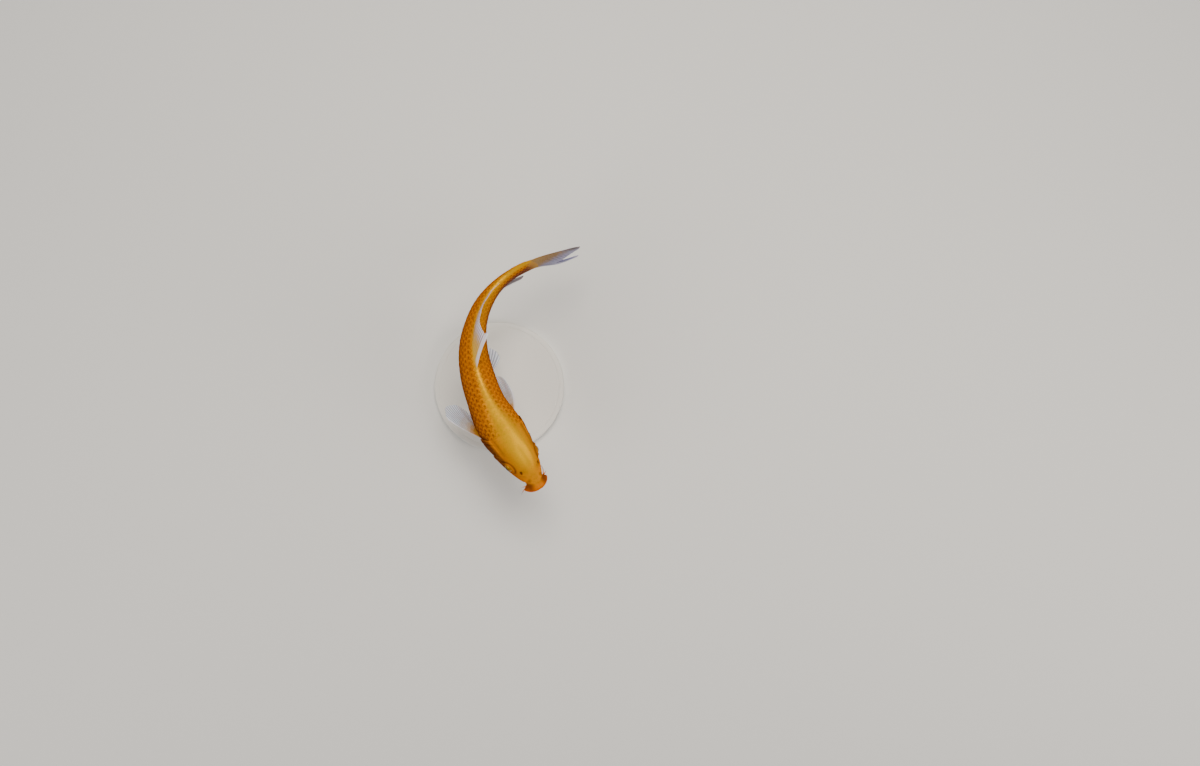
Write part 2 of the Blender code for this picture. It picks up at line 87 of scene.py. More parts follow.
# Distance from the lips, height above the spine, depth below it, half width.
BODY = (
    (5.7, 1.0, 8.6, 3.8),
    (7.4, 3.3, 10.1, 6.1),
    (9.4, 5.6, 11.3, 8.3),
    (12.0, 8.4, 12.7, 9.6),
    (16.0, 11.8, 14.4, 10.7),
    (24.6, 17.2, 17.5, 13.9),
    (34.0, 21.9, 20.5, 16.7),
    (43.0, 25.5, 22.8, 18.5),
    (52.5, 28.4, 24.6, 19.9),
    (62.0, 31.0, 26.4, 20.8),
    (71.0, 33.2, 28.2, 20.6),
    (80.5, 34.8, 29.6, 19.7),
    (99.0, 36.6, 31.4, 17.2),
    (118.0, 36.8, 31.6, 16.3),
    (136.0, 34.8, 30.2, 14.8),
    (155.0, 30.6, 27.4, 12.7),
    (173.5, 25.4, 23.6, 10.2),
    (192.0, 20.0, 18.8, 8.3),
    (210.0, 16.0, 15.2, 6.3),
    (228.0, 14.2, 13.8, 4.8),
    (239.0, 14.6, 14.4, 4.3),
    (246.0, 16.0, 15.8, 3.6),
    (252.0, 17.4, 17.0, 2.2),
    (258.0, 18.8, 18.4, 0.9),
)
# Fullness of the section above and below its widest line: 2 is an ellipse, more is boxier.
FULLNESS = (
    (5, 2.2, 2.1), (30, 2.35, 2.0), (62, 2.15, 2.0), (100, 1.95, 2.05), (140, 1.8, 2.05),
    (200, 1.9, 2.0), (258, 2.0, 2.0),
)
# The tail fin from its middle ray, 0, to its upper edge, 1: reach back and height of the tip.
TAIL_RAYS = (
    (0.00, 28.0, 0.0), (0.30, 36.0, 12.0), (0.60, 47.5, 26.5), (0.80, 52.5, 35.0),
    (0.90, 50.5, 37.0), (1.00, 27.0, 23.5),
)
TAIL_ROOT, TAIL_ROOT_RISE, TAIL_CUP, LOWER_LOBE = 246.5, 15.2, 6.0, 0.95
MOUTH = (0.0464, -0.0962)
AXIS_HEIGHT = 0.100
BODY_END = 257.0  # the flesh runs this far, between the roots of the tail's rays
COAT = 0.22  # the skin lies this far inside the body's outline where scales cover it


# %% Reading a table, and bending the fish
def along(rows, column, x):
    """Smooth value of a table's column at x, level beyond the table's ends."""
    rows = np.asarray(rows, float)
    knots, values = rows[:, 0], rows[:, column]
    low = np.maximum(np.arange(len(knots)) - 1, 0)
    high = np.minimum(np.arange(len(knots)) + 1, len(knots) - 1)
    slopes = (values[high] - values[low]) / (knots[high] - knots[low])
    x = np.clip(x, knots[0], knots[-1])
    i = np.clip(np.searchsorted(knots, x, side="right") - 1, 0, len(knots) - 2)
    step = knots[i + 1] - knots[i]
    f = (x - knots[i]) / step
    return (
        (2 * f**3 - 3 * f**2 + 1) * values[i]
        + (f**3 - 2 * f**2 + f) * step * slopes[i]
        + (3 * f**2 - 2 * f**3) * values[i + 1]
        + (f**3 - f**2) * step * slopes[i + 1]
    )


def smooth(low, high, x, start=0.0, end=1.0):
    """Start at low, end at high, and an S curve between them; low may be the larger."""
    f = np.clip((x - low) / (high - low), 0, 1)
    return start + (end - start) * f * f * (3 - 2 * f)


steps = np.radians(along(HEADINGS, 1, np.arange(330) + 0.5))
SPINE_X = np.concatenate([[0], np.cumsum(np.cos(steps))]) * MM + MOUTH[0]
SPINE_Y = np.concatenate([[0], np.cumsum(np.sin(steps))]) * MM + MOUTH[1]


def frames(x):
    """Place, tangent toward the tail, and level direction to the fish's left."""
    x = np.asarray(x, float)
    heading = np.radians(along(HEADINGS, 1, x))
    zero = np.zeros_like(heading)
    marks = np.arange(len(SPINE_X))
    place = np.stack(
        [np.interp(x, marks, SPINE_X), np.interp(x, marks, SPINE_Y), zero + AXIS_HEIGHT], -1
    )
    tangent = np.stack([np.cos(heading), np.sin(heading), zero], -1)
    left = np.stack([np.sin(heading), -np.cos(heading), zero], -1)
    return place, tangent, left


UP = np.array([0.0, 0.0, 1.0])


def rolled(x):
    """As frames(), with left and up rolled with the body."""
    place, tangent, left = frames(x)
    roll = np.radians(along(ROLLS, 1, x))[..., None]
    return (
        place,
        tangent,
        np.cos(roll) * left - np.sin(roll) * UP,
        np.cos(roll) * UP + np.sin(roll) * left,
    )


def bend(points):
    """Straight fish in millimetres to the posed fish in metres."""
    points = np.asarray(points, float)
    place, _, left, up = rolled(points[..., 0])
    return place + MM * (points[..., 1:2] * left + points[..., 2:3] * up)


print("tail end of the body:", np.round(bend([BODY_END, 0, 0]), 4))

# %% [markdown]
# ## The body's surface
# A second coordinate runs round the body: 0 is the middle of the belly, 1 the middle of the back
# and 2 the belly again, by way of the fish's left and then its right side. It is measured by
# length along the skin, so scales and mesh faces keep their size on a narrow back and a flat
# flank alike.


# %% Points and normals on the body
def section(x, turn):
    """Distances aside and above at an angle round the body: 0 is the left, 90 degrees the back."""
    upper = np.sin(turn) >= 0
    full = np.where(upper, along(FULLNESS, 1, x), along(FULLNESS, 2, x))
    reach = np.where(upper, along(BODY, 1, x), along(BODY, 2, x))
    c, s = np.cos(turn), np.sin(turn)
    aside = along(BODY, 3, x) * np.sign(c) * np.abs(c) ** (2 / full)
    return aside, reach * np.sign(s) * np.abs(s) ** (2 / full)


def tail_lag(x, z):
    """The middle of the tail fin trails toward the fish's left, and the flesh at its root too."""
    share = np.clip(np.abs(z) / (TAIL_ROOT_RISE + 0.33 * (x - TAIL_ROOT)), 0, 1)
    v = np.clip((x - TAIL_ROOT) / along(TAIL_RAYS, 1, share), 0, 1)
    return TAIL_CUP * (1 - share**2) * np.sin(math.pi * v / 2)


RULER = np.arange(0.0, 262.0)  # one section each millimetre
TURNS = np.radians(np.linspace(-90, 90, 721))
aside, above = section(RULER[:, None], TURNS[None, :])
length = np.hypot(np.diff(aside, axis=1), np.diff(above, axis=1)).cumsum(axis=1)
length = np.concatenate([np.zeros((len(RULER), 1)), length], axis=1)
HALF_GIRTH = length[:, -1]
SHARES = np.linspace(0, 1, 241)
TURN_AT = np.array([np.interp(SHARES, row / row[-1], TURNS) for row in length])
HEIGHT_AT = section(RULER[:, None], TURN_AT)[1]


def surface(x, g):
    """Point of the outline at x along the body and g round it, in millimetres."""
    x, g = np.broadcast_arrays(np.asarray(x, float), np.asarray(g, float) % 2)
    left = g <= 1
    share = np.where(left, g, 2 - g) * (len(SHARES) - 1)
    j = np.clip(share.astype(int), 0, len(SHARES) - 2)
    i = np.clip(x.astype(int), 0, len(RULER) - 2)
    a, b = np.clip(x - i, 0, 1), share - j
    turn = (1 - a) * ((1 - b) * TURN_AT[i, j] + b * TURN_AT[i, j + 1]) + a * (
        (1 - b) * TURN_AT[i + 1, j] + b * TURN_AT[i + 1, j + 1]
    )
    y, z = section(x, turn)
    return np.stack([x, np.where(left, y, -y) + tail_lag(x, z), z], -1)


def outward(x, g):
    """Unit normal of the outline."""
    one = surface(x, np.asarray(g) + 0.004) - surface(x, np.asarray(g) - 0.004)
    two = surface(np.asarray(x) + 0.5, g) - surface(np.asarray(x) - 0.5, g)
    normal = np.cross(one, two)
    return normal / np.linalg.norm(normal, axis=-1, keepdims=True)


def girth_share(g):
    """0 on the belly and 1 on the back, on both sides."""
    g = np.asarray(g, float) % 2
    return np.where(g <= 1, g, 2 - g)


print("girth at the shoulder:", round(2 * HALF_GIRTH[80]), "mm")

# %% [markdown]
# ## Where the head ends
# A carp's head has no scales. Its skin ends in a curve that crosses the nape, runs back round the
# free edge of each gill cover and comes forward again under the throat. The rings of the skin
# follow that curve, so the gill cover's edge is a clean step in the mesh.

# %% Landmarks of the head
# Share round the body from belly to back, distance of the head's edge from the lips.
HEAD_EDGE = (
    (0.00, 51.0), (0.10, 54.0), (0.20, 61.5), (0.30, 67.0), (0.40, 69.6), (0.50, 69.8),
    (0.60, 67.6), (0.70, 64.0), (0.80, 61.0), (0.90, 59.2), (1.00, 58.6),
)
EYE = np.array([34.6, 14.5, 7.4])
EYE_RADIUS, EYE_BULGE = 4.7, 3.5
EYE_AXIS = np.array([-0.16, 1.0, 0.0]) / math.hypot(0.16, 1.0)
NOSTRIL = np.array([23.4, 9.5])
LATERAL_LINE = ((60, 9.5), (75, 7.0), (90, 4.0), (120, 0.5), (160, 0.0), (246, 0.0))


def head_edge(g):
    return along(HEAD_EDGE, 1, girth_share(g))


def cover_window(g):
    """1 where the gill cover's edge is free, 0 on the nape and in the middle of the throat."""
    share = girth_share(g)
    return smooth(0.05, 0.14, share) * (1 - smooth(0.64, 0.76, share))


def sinking(behind, g):
    """Depth of the skin under the outline: it slides under the scales, or drops at a gill slit."""
    gentle = COAT * smooth(-3.5, 6.0, behind)
    slit = COAT + 0.55 * np.exp(-np.maximum(behind, 0) / 2.2)
    return gentle + (slit - gentle) * cover_window(g) * (behind > 0)


print("gill cover's rear edge at", float(head_edge(0.5)), "mm")

# %% [markdown]
# ## Relief of the head
# Under the thin skin of a carp's face the bones show: a raised rim round the eye, the curved
# front bone of the gill cover with the fan-shaped plate behind it, a fold behind each corner of
# the mouth, and a hollow with two openings for each nostril. Each is a few lines of arithmetic
# on distances, added up into one height above the plain outline.


# %% Relief of the head
def bump(distance, width):
    return np.exp(-((distance / width) ** 2))


def nostril_pit(x, y):
    """1 in the nostril's pit, and the distance from its middle in its own half lengths."""
    n = np.hypot((x - NOSTRIL[0]) / 1.25, (y - NOSTRIL[1]) / 0.8)
    return np.exp(-((n / 1.15) ** 4)), n


def relief(x, g, p):
    """Height of the skin over the plain outline, in millimetres, at points p of the outline."""
    side = np.where(p[..., 1] >= 0, 1.0, -1.0)
    y, z = np.abs(p[..., 1]), p[..., 2]
    share = girth_share(g)
    edge = head_edge(g)
    head = x <= edge + 0.01
    high = np.zeros_like(x)

    # Eye: a socket for the ball, a soft rim and a hollow round it.
    offset = np.stack([x, y, z], -1) - EYE
    depth = offset @ EYE_AXIS
    r = np.sqrt(np.maximum((offset**2).sum(-1) - depth**2, 0))
    r = np.where(depth > -4, r, 99)
    high += 0.55 * bump(r - 5.5, 0.8) - 0.30 * bump(r - 8.0, 1.6)
    high -= 3.2 * (1 - smooth(4.1, 5.0, r))
    high += 0.75 * bump(r - 5.8, 1.2) * smooth(-1, 3, z - EYE[2])

    # Nostril: one oval pit with a soft rim, and the flap of skin that parts it in two.
    over = smooth(4, 9, z)
    pit, n = nostril_pit(x, y)
    high += over * (0.30 * bump(n - 1.75, 0.55) - 1.5 * pit)
    high += over * 1.5 * bump(x - NOSTRIL[0] + 0.2, 0.38) * bump(y - NOSTRIL[1], 1.2)

    # Behind the lips the snout is narrower; then one fold hugs them and one runs down the jaw.
    high -= 1.3 * bump(x - 12.0, 3.2) * smooth(3.0, 7.5, y) * smooth(-12, -7, z)
    fold = 13.2 + 0.045 * (z + 5) ** 2
    high -= 0.75 * bump(x - fold, 0.8) * smooth(3.5, 7, y) * (1 - smooth(2, 7, z))
    high += 0.5 * bump(x - fold + 2.1, 1.3) * smooth(3.5, 7, y) * (1 - smooth(2, 7, z))
    jaw = -9.4 - 0.10 * (x - 10)
    high -= 0.5 * bump(z - jaw, 0.8) * smooth(9, 13, x) * (1 - smooth(26, 36, x))
    high += 0.35 * bump(x - 9.5, 1.8) * smooth(0.75, 0.9, share)

    # Cheek: a groove under the eye, and the front bone of the gill cover over its plate.
    cheek = np.abs(r - 10.6)
    high -= 0.20 * bump(cheek, 0.8) * smooth(0, 3, EYE[2] - z) * (r < 30)
    bone = 51.5 - 0.026 * (z - 3) ** 2
    behind = x - bone
    window = smooth(-21, -14, z) * (1 - smooth(6, 12, z)) * (y > 3)
    high -= 0.75 * smooth(-0.35, 0.45, behind) * np.exp(-np.maximum(behind, 0) / 5.5) * window
    high += 0.35 * bump(behind + 1.6, 1.6) * window
    lower = 0.55 * (x - 46) + z + 15.5
    high -= 0.30 * bump(lower, 0.75) * smooth(0, 3, behind) * (1 - smooth(64, 67, x))
    plate = np.arctan2(z - 9, x - 50)
    high += 0.07 * np.cos(plate * 26) * smooth(1.5, 6, behind) * window * (1 - smooth(62, 66, x))

    # The cover swells toward its free edge; two long folds of skin lie under the throat.
    free = cover_window(g)
    high += 0.65 * free * smooth(-22, 0, x - edge) ** 2
    high -= 0.40 * free * smooth(-5.4, -4.2, x - edge) * (1 - smooth(-4.0, -2.8, x - edge))
    high -= (1 - free) * sinking(x - edge, g)
    for ring in (0.075, 0.115, 0.155):
        high -= 0.35 * bump(share - ring, 0.008) * smooth(22, 32, x) * (x < edge)

    # Top of the head: a shallow hollow between two low ridges, then the swelling of the nape.
    high -= 0.35 * bump(y, 3.5) * smooth(20, 28, x) * (1 - smooth(40, 52, x)) * smooth(5, 10, z)
    high += 0.30 * bump(y - 8, 2.6) * smooth(18, 26, x) * (1 - smooth(44, 56, x)) * (z > 5)
    return np.where(head, high, 0.0)


print("relief functions ready")

# %% [markdown]
# ## The skin
# One tube of quads makes the whole skin. It starts deep in the closed mouth, rolls out over the
# lips, dips into the crease behind them, covers the head, folds under the edge of the gill
# covers and runs to the root of the tail. No primitive can give that, so the rings are worked
# out point by point; the order of the rings is what a sculptor would call the edge flow.

# %% Rings of the mouth
COLUMNS = 240
ROUND = 2 * np.arange(COLUMNS) / COLUMNS
ALPHA = (ROUND - 0.5) * math.pi  # -90 degrees under the chin, 0 at the left corner, 90 on top
LIP_REACH, SLIT_HEIGHT, SLIT_DROOP = 10.4, -3.9, 1.9
LIP_UPPER, LIP_LOWER, LIP_CORNER = 2.25, 1.8, 1.2
ABOVE, BELOW = np.maximum(np.sin(ALPHA), 0), np.maximum(-np.sin(ALPHA), 0)
# The roll of the lips ends early in the middle, where they run on into snout and chin.
ROLL_END = np.radians(174 - 56 * ABOVE**4 - 26 * BELOW**4)


def lip_ring(share, inward=0.0, shrink=1.0):
    """Ring of the lips at a share of their roll: 0 in the slit, 1 where the face begins."""
    turn = share * ROLL_END
    y = LIP_REACH * np.cos(ALPHA) * shrink
    bend_back = np.sqrt(1 - (y / 12.4) ** 2)
    x = 2.9 + 9.0 * (1 - bend_back) + 0.7 * np.maximum(-np.sin(ALPHA), 0)
    z = SLIT_HEIGHT - SLIT_DROOP * (y / 10) ** 2
    slope = 0.0585 * y / bend_back
    size = np.hypot(1, slope)
    forward = np.stack([-1 / size, slope / size, 0 * y], -1)
    sideways = np.stack([np.abs(slope) / size, np.sign(y) / size, 0 * y], -1)
    away = (np.abs(np.cos(ALPHA)) / 10)[:, None] * sideways + (np.sin(ALPHA) / 2.6)[:, None] * UP
    away /= np.linalg.norm(away, axis=1, keepdims=True)
    top = np.where(np.sin(ALPHA) > 0, LIP_UPPER, LIP_LOWER)
    radius = LIP_CORNER + (top - LIP_CORNER) * np.abs(np.sin(ALPHA)) ** 0.7
    point = np.stack([x, y, z], -1)
    a = 0.12 + radius * (1 - np.cos(turn))
    b = radius * np.sin(turn) - inward
    # A faint dip along the middle of the upper lip keeps it from looking like a tube.
    b = b - 0.25 * np.sin(turn) * bump(y, 1.2) * ABOVE
    folds = 0.055 * np.sin(46 * ALPHA + 1.3) + 0.045 * np.sin(71 * ALPHA)
    a = a + folds * np.sin(turn)
    return point + a[:, None] * away + b[:, None] * forward


LIP_SHARES = (0, 0.08, 0.17, 0.27, 0.37, 0.47, 0.57, 0.67, 0.77, 0.86, 0.94, 1)
mouth = [lip_ring(0, 5.0, 0.82), lip_ring(0, 2.4, 0.92)] + [lip_ring(s) for s in LIP_SHARES]
START = along(((0, 7.4), (0.5, 12.0), (0.8, 8.8), (1.0, 6.6)), 1, girth_share(ROUND))


def head_point(x, g):
    """Points of the finished skin of the head."""
    p = surface(x, g)
    return p + relief(x, g, p)[..., None] * outward(x, g)


first = head_point(START, ROUND)
DEEP = 0.15 + 0.95 * np.abs(np.cos(ALPHA)) ** 0.5 * smooth(0.05, 0.45, np.abs(np.cos(ALPHA)))
for share in (0.3, 0.6, 0.85):
    sag = (DEEP * 4 * share * (1 - share))[:, None] * outward(START, ROUND)
    mouth.append((1 - share) * mouth[len(LIP_SHARES) + 1] + share * first - sag)
print(len(mouth), "rings from the mouth to the crease")

# %% Rings of the head, the gill slit and the trunk
HEAD_RINGS, TRUNK_RINGS = 104, 108
rings = list(mouth)
EDGE = head_edge(ROUND)
FREE = cover_window(ROUND)
stations = START + (EDGE - START) * (np.linspace(0, 1, HEAD_RINGS) ** 1.12)[:, None]
rings += list(head_point(stations, ROUND[None, :]))

# How far each point lies below the skin round it, for the finish to paint shade into the creases.
high = relief(stations, ROUND[None, :], surface(stations, ROUND[None, :]))
mean = sum(np.roll(high, k, axis=1) for k in range(-4, 5)) / 9
padded = np.pad(mean, ((4, 4), (0, 0)), mode="edge")
mean = sum(padded[k : k + HEAD_RINGS] for k in range(9)) / 9
CREASE = np.clip((mean - high) / 0.30, 0, 1)

crest = relief(EDGE, ROUND, surface(EDGE, ROUND)) + (1 - FREE) * sinking(0, ROUND)
# Each row: shift along at the nape, then shift and height at a free cover's edge.
FOLD = (
    (0.25, 0.40, -0.12),
    (0.40, 0.50, -0.40),
    (0.50, 0.20, -0.75),
    (0.60, -2.4, -1.05),
    (0.70, -2.6, -2.60),
    (0.85, 0.30, -2.85),
)
for nape, cover, drop in FOLD:
    x = EDGE + nape + (cover - nape) * FREE
    high = -sinking(nape, ROUND) * (1 - FREE) + (crest + drop) * FREE
    rings.append(surface(x, ROUND) + high[:, None] * outward(x, ROUND))

for h in np.linspace(0, 1, TRUNK_RINGS):
    start = EDGE + 1.1
    x = start + (BODY_END - start) * h
    rings.append(surface(x, ROUND) - sinking(x - EDGE, ROUND)[:, None] * outward(x, ROUND))
last = rings[-1]
centre = np.array([0, 1, 0]) * last.mean(axis=0)
for back, narrow in ((0.5, 0.75), (0.8, 0.3)):
    rings.append((last - centre) * [1, narrow, 0.99] + centre + [back, 0, 0])
rings = np.array(rings)
print(rings.shape[0], "rings of", COLUMNS, "points")


# %% Faces of a tube
def tube_faces(count, columns):
    r = np.arange(count - 1)[:, None]
    c = np.arange(columns)[None, :]
    d = (c + 1) % columns
    quads = np.stack(
        [r * columns + c, r * columns + d, (r + 1) * columns + d, (r + 1) * columns + c], -1
    )
    return quads.reshape(-1, 4)


def zip_shut(first, last, mirror, offset, flip):
    """Faces that close a flattened ring by joining each column to its mirror image."""
    faces = []
    for c in range(first, last):
        face = [c, c + 1, mirror(c + 1), mirror(c)]
        face = [offset + v % COLUMNS for v in (face[::-1] if flip else face)]
        faces.append(tuple(dict.fromkeys(face)))
    return faces


mouth_end = zip_shut(
    COLUMNS // 4, 3 * COLUMNS // 4, lambda c: COLUMNS // 2 - c, 0, flip=True
)
tail_offset = (len(rings) - 1) * COLUMNS
tail_end = zip_shut(0, COLUMNS // 2, lambda c: COLUMNS - c, tail_offset, flip=False)
skin_faces = tube_faces(len(rings), COLUMNS).tolist() + mouth_end + tail_end
print(len(skin_faces), "faces")

# %% [markdown]
# ## Markings, painted shade and painted highlights
# The golden colour is not even: yellow on the forehead and along the ridge of the back, where a
# painted highlight brightens it, amber on the shoulders, orange on the snout and lips, and pale on
# the belly. Painted shade darkens the flanks toward brown, and darkens the cheeks, the gill covers
# and the inner side of the bent stalk, where a painted bluish reflection tints it too. A painted
# highlight runs along the top of each gill cover, and brown marks lie at the nostrils and along a
# seam above each cover. Six masks hold where each colour, painted shade and painted highlight lies.
# The skin and the scales both read them, so the markings run on from one to the other.


# %% Masks of the markings, painted shade and painted highlights
# Half width of the bright band on the back, yellow with a painted highlight, and its strength in
# front of and behind the dorsal.
BRIGHT_WIDTH = (
    (0, 5.0), (30, 10.0), (45, 11.5), (60, 11.3), (75, 8.4), (88, 5.4), (102, 3.5), (125, 2.0),
    (195, 2.2), (230, 3.0),
)
BRIGHT_FRONT = ((0, 0.1), (18, 0.30), (30, 0.80), (45, 1), (75, 1), (110, 0.9))
BRIGHT_REAR = ((110, 1), (135, 0.85), (160, 0.65), (195, 0.7), (222, 1))
COVER_TOP = 0.712  # share round the body of the ridge along the top of the gill cover
SEAM = 0.775  # and of the seam above it


def masks(x, g, y):
    """Shares of each colour at places on the body: yellow with a painted highlight on the back,
    painted shade down the flanks with marks at the nostrils, the snout's colour with a painted
    highlight on each gill cover, cream, painted shade on the cheeks, and painted shade on the inner
    flank.
    """
    share, edge = girth_share(g), head_edge(g)
    inner = smooth(-1.0, 2.5, y)  # 1 on the fish's left, the inner side of the bend
    width = along(BRIGHT_WIDTH, 1, x)
    from_back = (1 - share) * np.interp(x, RULER, HALF_GIRTH)
    strength = along(BRIGHT_FRONT, 1, x) * along(BRIGHT_REAR, 1, x)
    golden = inner * smooth(0.60, 0.82, share) * smooth(120, 165, x) * (1 - smooth(205, 240, x))
    # The yellow back, brightened by a painted highlight along its ridge.
    yellow_and_highlight = strength * bump(from_back, width) + 0.14 * bump(from_back, 2.0 * width)

    on_cover = 1 - smooth(0, 2, x - edge)
    # A painted highlight along the lit ridge on top of each gill cover; it is laid in with the
    # orange and keeps the painted shade off the ridge.
    cover_highlight = bump(share - COVER_TOP, 0.026) * smooth(40, 52, x) * on_cover
    seam = bump(share - SEAM, 0.017) * smooth(40, 50, x) * on_cover
    nostrils = [370 * (g - at) ** 2 + (x - 23.6) ** 2 / 5 for at in (0.80, 1.20)]
    # Painted shade: brown down the flanks where they turn away from the light, less on the outer
    # side near the tail; brown marks also at the nostrils and along the seam above each gill cover.
    brown_and_shade = 0.92 * smooth(0.80, 0.48, share) * smooth(30, 70, x) * smooth(0.14, 0.34, share)
    brown_and_shade = brown_and_shade * (1 - 0.45 * smooth(170, 235, x) * (1 - inner)) * (1 - 0.85 * cover_highlight)
    brown_and_shade = brown_and_shade + 0.6 * np.exp(-np.min(nostrils, axis=0)) + 0.55 * seam

    # Painted shade on the cheeks and gill covers, below the lit ridge of each cover.
    low = share - 0.08 * inner
    cheek_shade = smooth(0.79, 0.60, low) * (1 - 0.65 * smooth(0.48, 0.30, low)) * (1 - 0.92 * cover_highlight)
    cheek_shade = cheek_shade * smooth(0.10, 0.28, share) * smooth(13, 48, x) * (1 - smooth(-0.5, 0.5, x - edge))
    # Painted shade with a painted bluish reflection on the inner flank toward the tail, where the
    # bent stalk turns away from the light.
    inner_flank_shade = (0.5 * smooth(150, 190, x) + 0.5 * smooth(198, 214, x)) * smooth(0.88, 0.62, share)
    inner_flank_shade = inner_flank_shade * smooth(-0.5, 1.5, y) * (1 - smooth(246, 255, x)) * smooth(0.10, 0.30, share)
    return {
        "yellow_and_highlight": np.clip(yellow_and_highlight + 0.30 * golden, 0, 1),
        "brown_and_shade": np.clip(brown_and_shade, 0, 1),
        "orange_and_highlight": np.clip(1 - smooth(12, 28, x) + cover_highlight + 0.3 * smooth(196, 230, x), 0, 1),
        "cream": (1 - smooth(0.08, 0.25, share)) * smooth(10, 30, x) + 0.8 * smooth(243, 253, x),
        "cheek_shade": cheek_shade,
        "inner_flank_shade": 0.8 * inner_flank_shade,
    }


print("middle of the forehead:", {k: round(float(v), 2) for k, v in masks(40.0, 1.0, 0.0).items()})


# %% Meshes with values and maps
def mesh_object(name, points, faces):
    """Object from points in metres; faces are lists of point numbers."""
    mesh = bpy.data.meshes.new(name)
    mesh.from_pydata(np.asarray(points).reshape(-1, 3).tolist(), [], faces)
    mesh.update()
    obj = bpy.data.objects.new(name, mesh)
    bpy.context.scene.collection.objects.link(obj)
    mesh.shade_smooth()
    return obj


def add_values(obj, **values):
    """Named numbers on the points of a mesh, for its material to read."""
    for name, numbers in values.items():
        attribute = obj.data.attributes.new(name, "FLOAT", "POINT")
        attribute.data.foreach_set("value", np.asarray(numbers, np.float32).ravel())


def corner_points(obj):
    """Number of the point at each corner of each face."""
    corners = np.empty(len(obj.data.loops), np.int32)
    obj.data.loops.foreach_get("vertex_index", corners)
    return corners


def add_map(obj, name, points_uv):
    """UV map from one place for each corner of each face."""
    layer = obj.data.uv_layers.new(name=name)
    layer.data.foreach_set("uv", np.asarray(points_uv, np.float32).ravel())


print("mesh helpers ready")

# %% Feelers
# Root and tip as station, aside and above; then outward bow, thickness at root and tip.
FEELERS = (
    ((10.6, 10.4, -1.2), (12.2, 14.2, -3.6), 0.5, 0.45, 0.26),
    ((10.6, -10.4, -1.2), (12.2, -14.2, -3.6), 0.5, 0.45, 0.26),
    ((9.6, 9.6, -5.6), (18.3, 14.8, -12.2), 1.2, 0.62, 0.34),
    ((9.6, -9.6, -5.6), (6.2, -16.2, -13.2), 1.2, 0.62, 0.34),
)
FEELER_RINGS, FEELER_SIDES = 22, 10


def feeler(root, tip, bow, thick, thin):
    """Rings of a soft tapered feeler, closed by a small rounded tip."""
    root, tip = np.array(root), np.array(tip)
    f = np.linspace(0, 1, FEELER_RINGS)
    middle = root + (tip - root) * f[:, None]
    middle[:, 1] += math.copysign(bow, root[1]) * np.sin(math.pi * f)
    middle = bend(middle)
    forward = np.gradient(middle, axis=0)
    forward /= np.linalg.norm(forward, axis=1, keepdims=True)
    one = np.cross(forward, UP)
    one /= np.linalg.norm(one, axis=1, keepdims=True)
    two = np.cross(forward, one)
    radius = (thick + (thin - thick) * f) * np.sqrt(np.clip((1.03 - f) / 0.08, 0, 1)) * MM
    radius = radius * (1 + 0.5 * bump(f, 0.10))
    turn = 2 * np.pi * np.arange(FEELER_SIDES) / FEELER_SIDES
    ring = np.cos(turn)[None, :, None] * one[:, None] + np.sin(turn)[None, :, None] * two[:, None]
    return middle[:, None] + radius[:, None, None] * ring


print(len(FEELERS), "feelers")

# %% Values on the skin's points
LIP_FADE = (0.9, 0.75, 0.6, 0.4, 0.2)  # rings over which the lips' colour runs out
# Painted shade ring by ring, inside the mouth and in the creases behind the lip corners.
MOUTH_SHADE = (1.0, 1.0, 0.6)  # rings inside the mouth
CORNER_SHADE = (0.1, 0.25, 0.45, 0.65, 0.75, 0.75, 0.65, 0.5, 0.35, 0.2, 0.1)  # behind the lips
FACE_RING, SLIT_RING = len(mouth), len(mouth) + HEAD_RINGS  # where face and gill slit begin
x, y, z = np.moveaxis(rings, -1, 0)
values = masks(x, ROUND, y)
lip, recess_shade, crease = (np.zeros(x.shape) for _ in range(3))
lip[:FACE_RING] = np.concatenate([np.ones(len(LIP_SHARES)), LIP_FADE])[:, None]
# Painted shade in the nostrils' pits, inside the mouth and in the creases behind the lip corners.
recess_shade[:] = 0.6 * nostril_pit(x, np.abs(y))[0] * (z > 4) * (x < 30)
recess_shade[: len(MOUTH_SHADE)] = np.array(MOUTH_SHADE)[:, None]
behind_lips = len(LIP_SHARES) - 2
recess_shade[behind_lips : behind_lips + len(CORNER_SHADE)] = np.outer(
    CORNER_SHADE, smooth(0.30, 0.75, np.abs(np.cos(ALPHA)))
)
# Painted shade in the gill slits under the free edge of the covers.
recess_shade[SLIT_RING + 3 : SLIT_RING + 6] = FREE
# Painted shade in the creases of the face.
crease[FACE_RING:SLIT_RING] = 0.7 * CREASE
values |= {"lip": 0.9 * lip, "whisker": 0 * x, "crease": crease, "recess_shade": recess_shade}
print("values on the skin:", *values)

# %% The skin with its feelers
FEELER_POINTS = FEELER_RINGS * FEELER_SIDES
all_points, faces = [bend(rings).reshape(-1, 3)], list(skin_faces)
for k, row in enumerate(FEELERS):
    all_points.append(feeler(*row).reshape(-1, 3))
    offset = rings.shape[0] * COLUMNS + k * FEELER_POINTS
    end = offset + FEELER_POINTS - FEELER_SIDES
    faces += (tube_faces(FEELER_RINGS, FEELER_SIDES) + offset)[:, ::-1].tolist()
    faces.append([end + j for j in range(FEELER_SIDES)][::-1])
    faces.append([offset + j for j in range(FEELER_SIDES)])

grown = np.repeat(np.linspace(0, 1, FEELER_RINGS), FEELER_SIDES)
own = {
    "orange_and_highlight": 1 + 0 * grown,
    "lip": 0.9 * 0.4 * (1 - smooth(0, 0.5, grown)),
    "whisker": 0.85 * smooth(0.15, 0.8, grown),
}
for name, numbers in values.items():
    more = [own.get(name, 0 * grown)] * len(FEELERS)
    values[name] = np.concatenate([numbers.ravel()] + more)
skin = mesh_object("skin", np.concatenate(all_points), faces)
add_values(skin, **values)
print("skin:", len(skin.data.polygons), "faces")

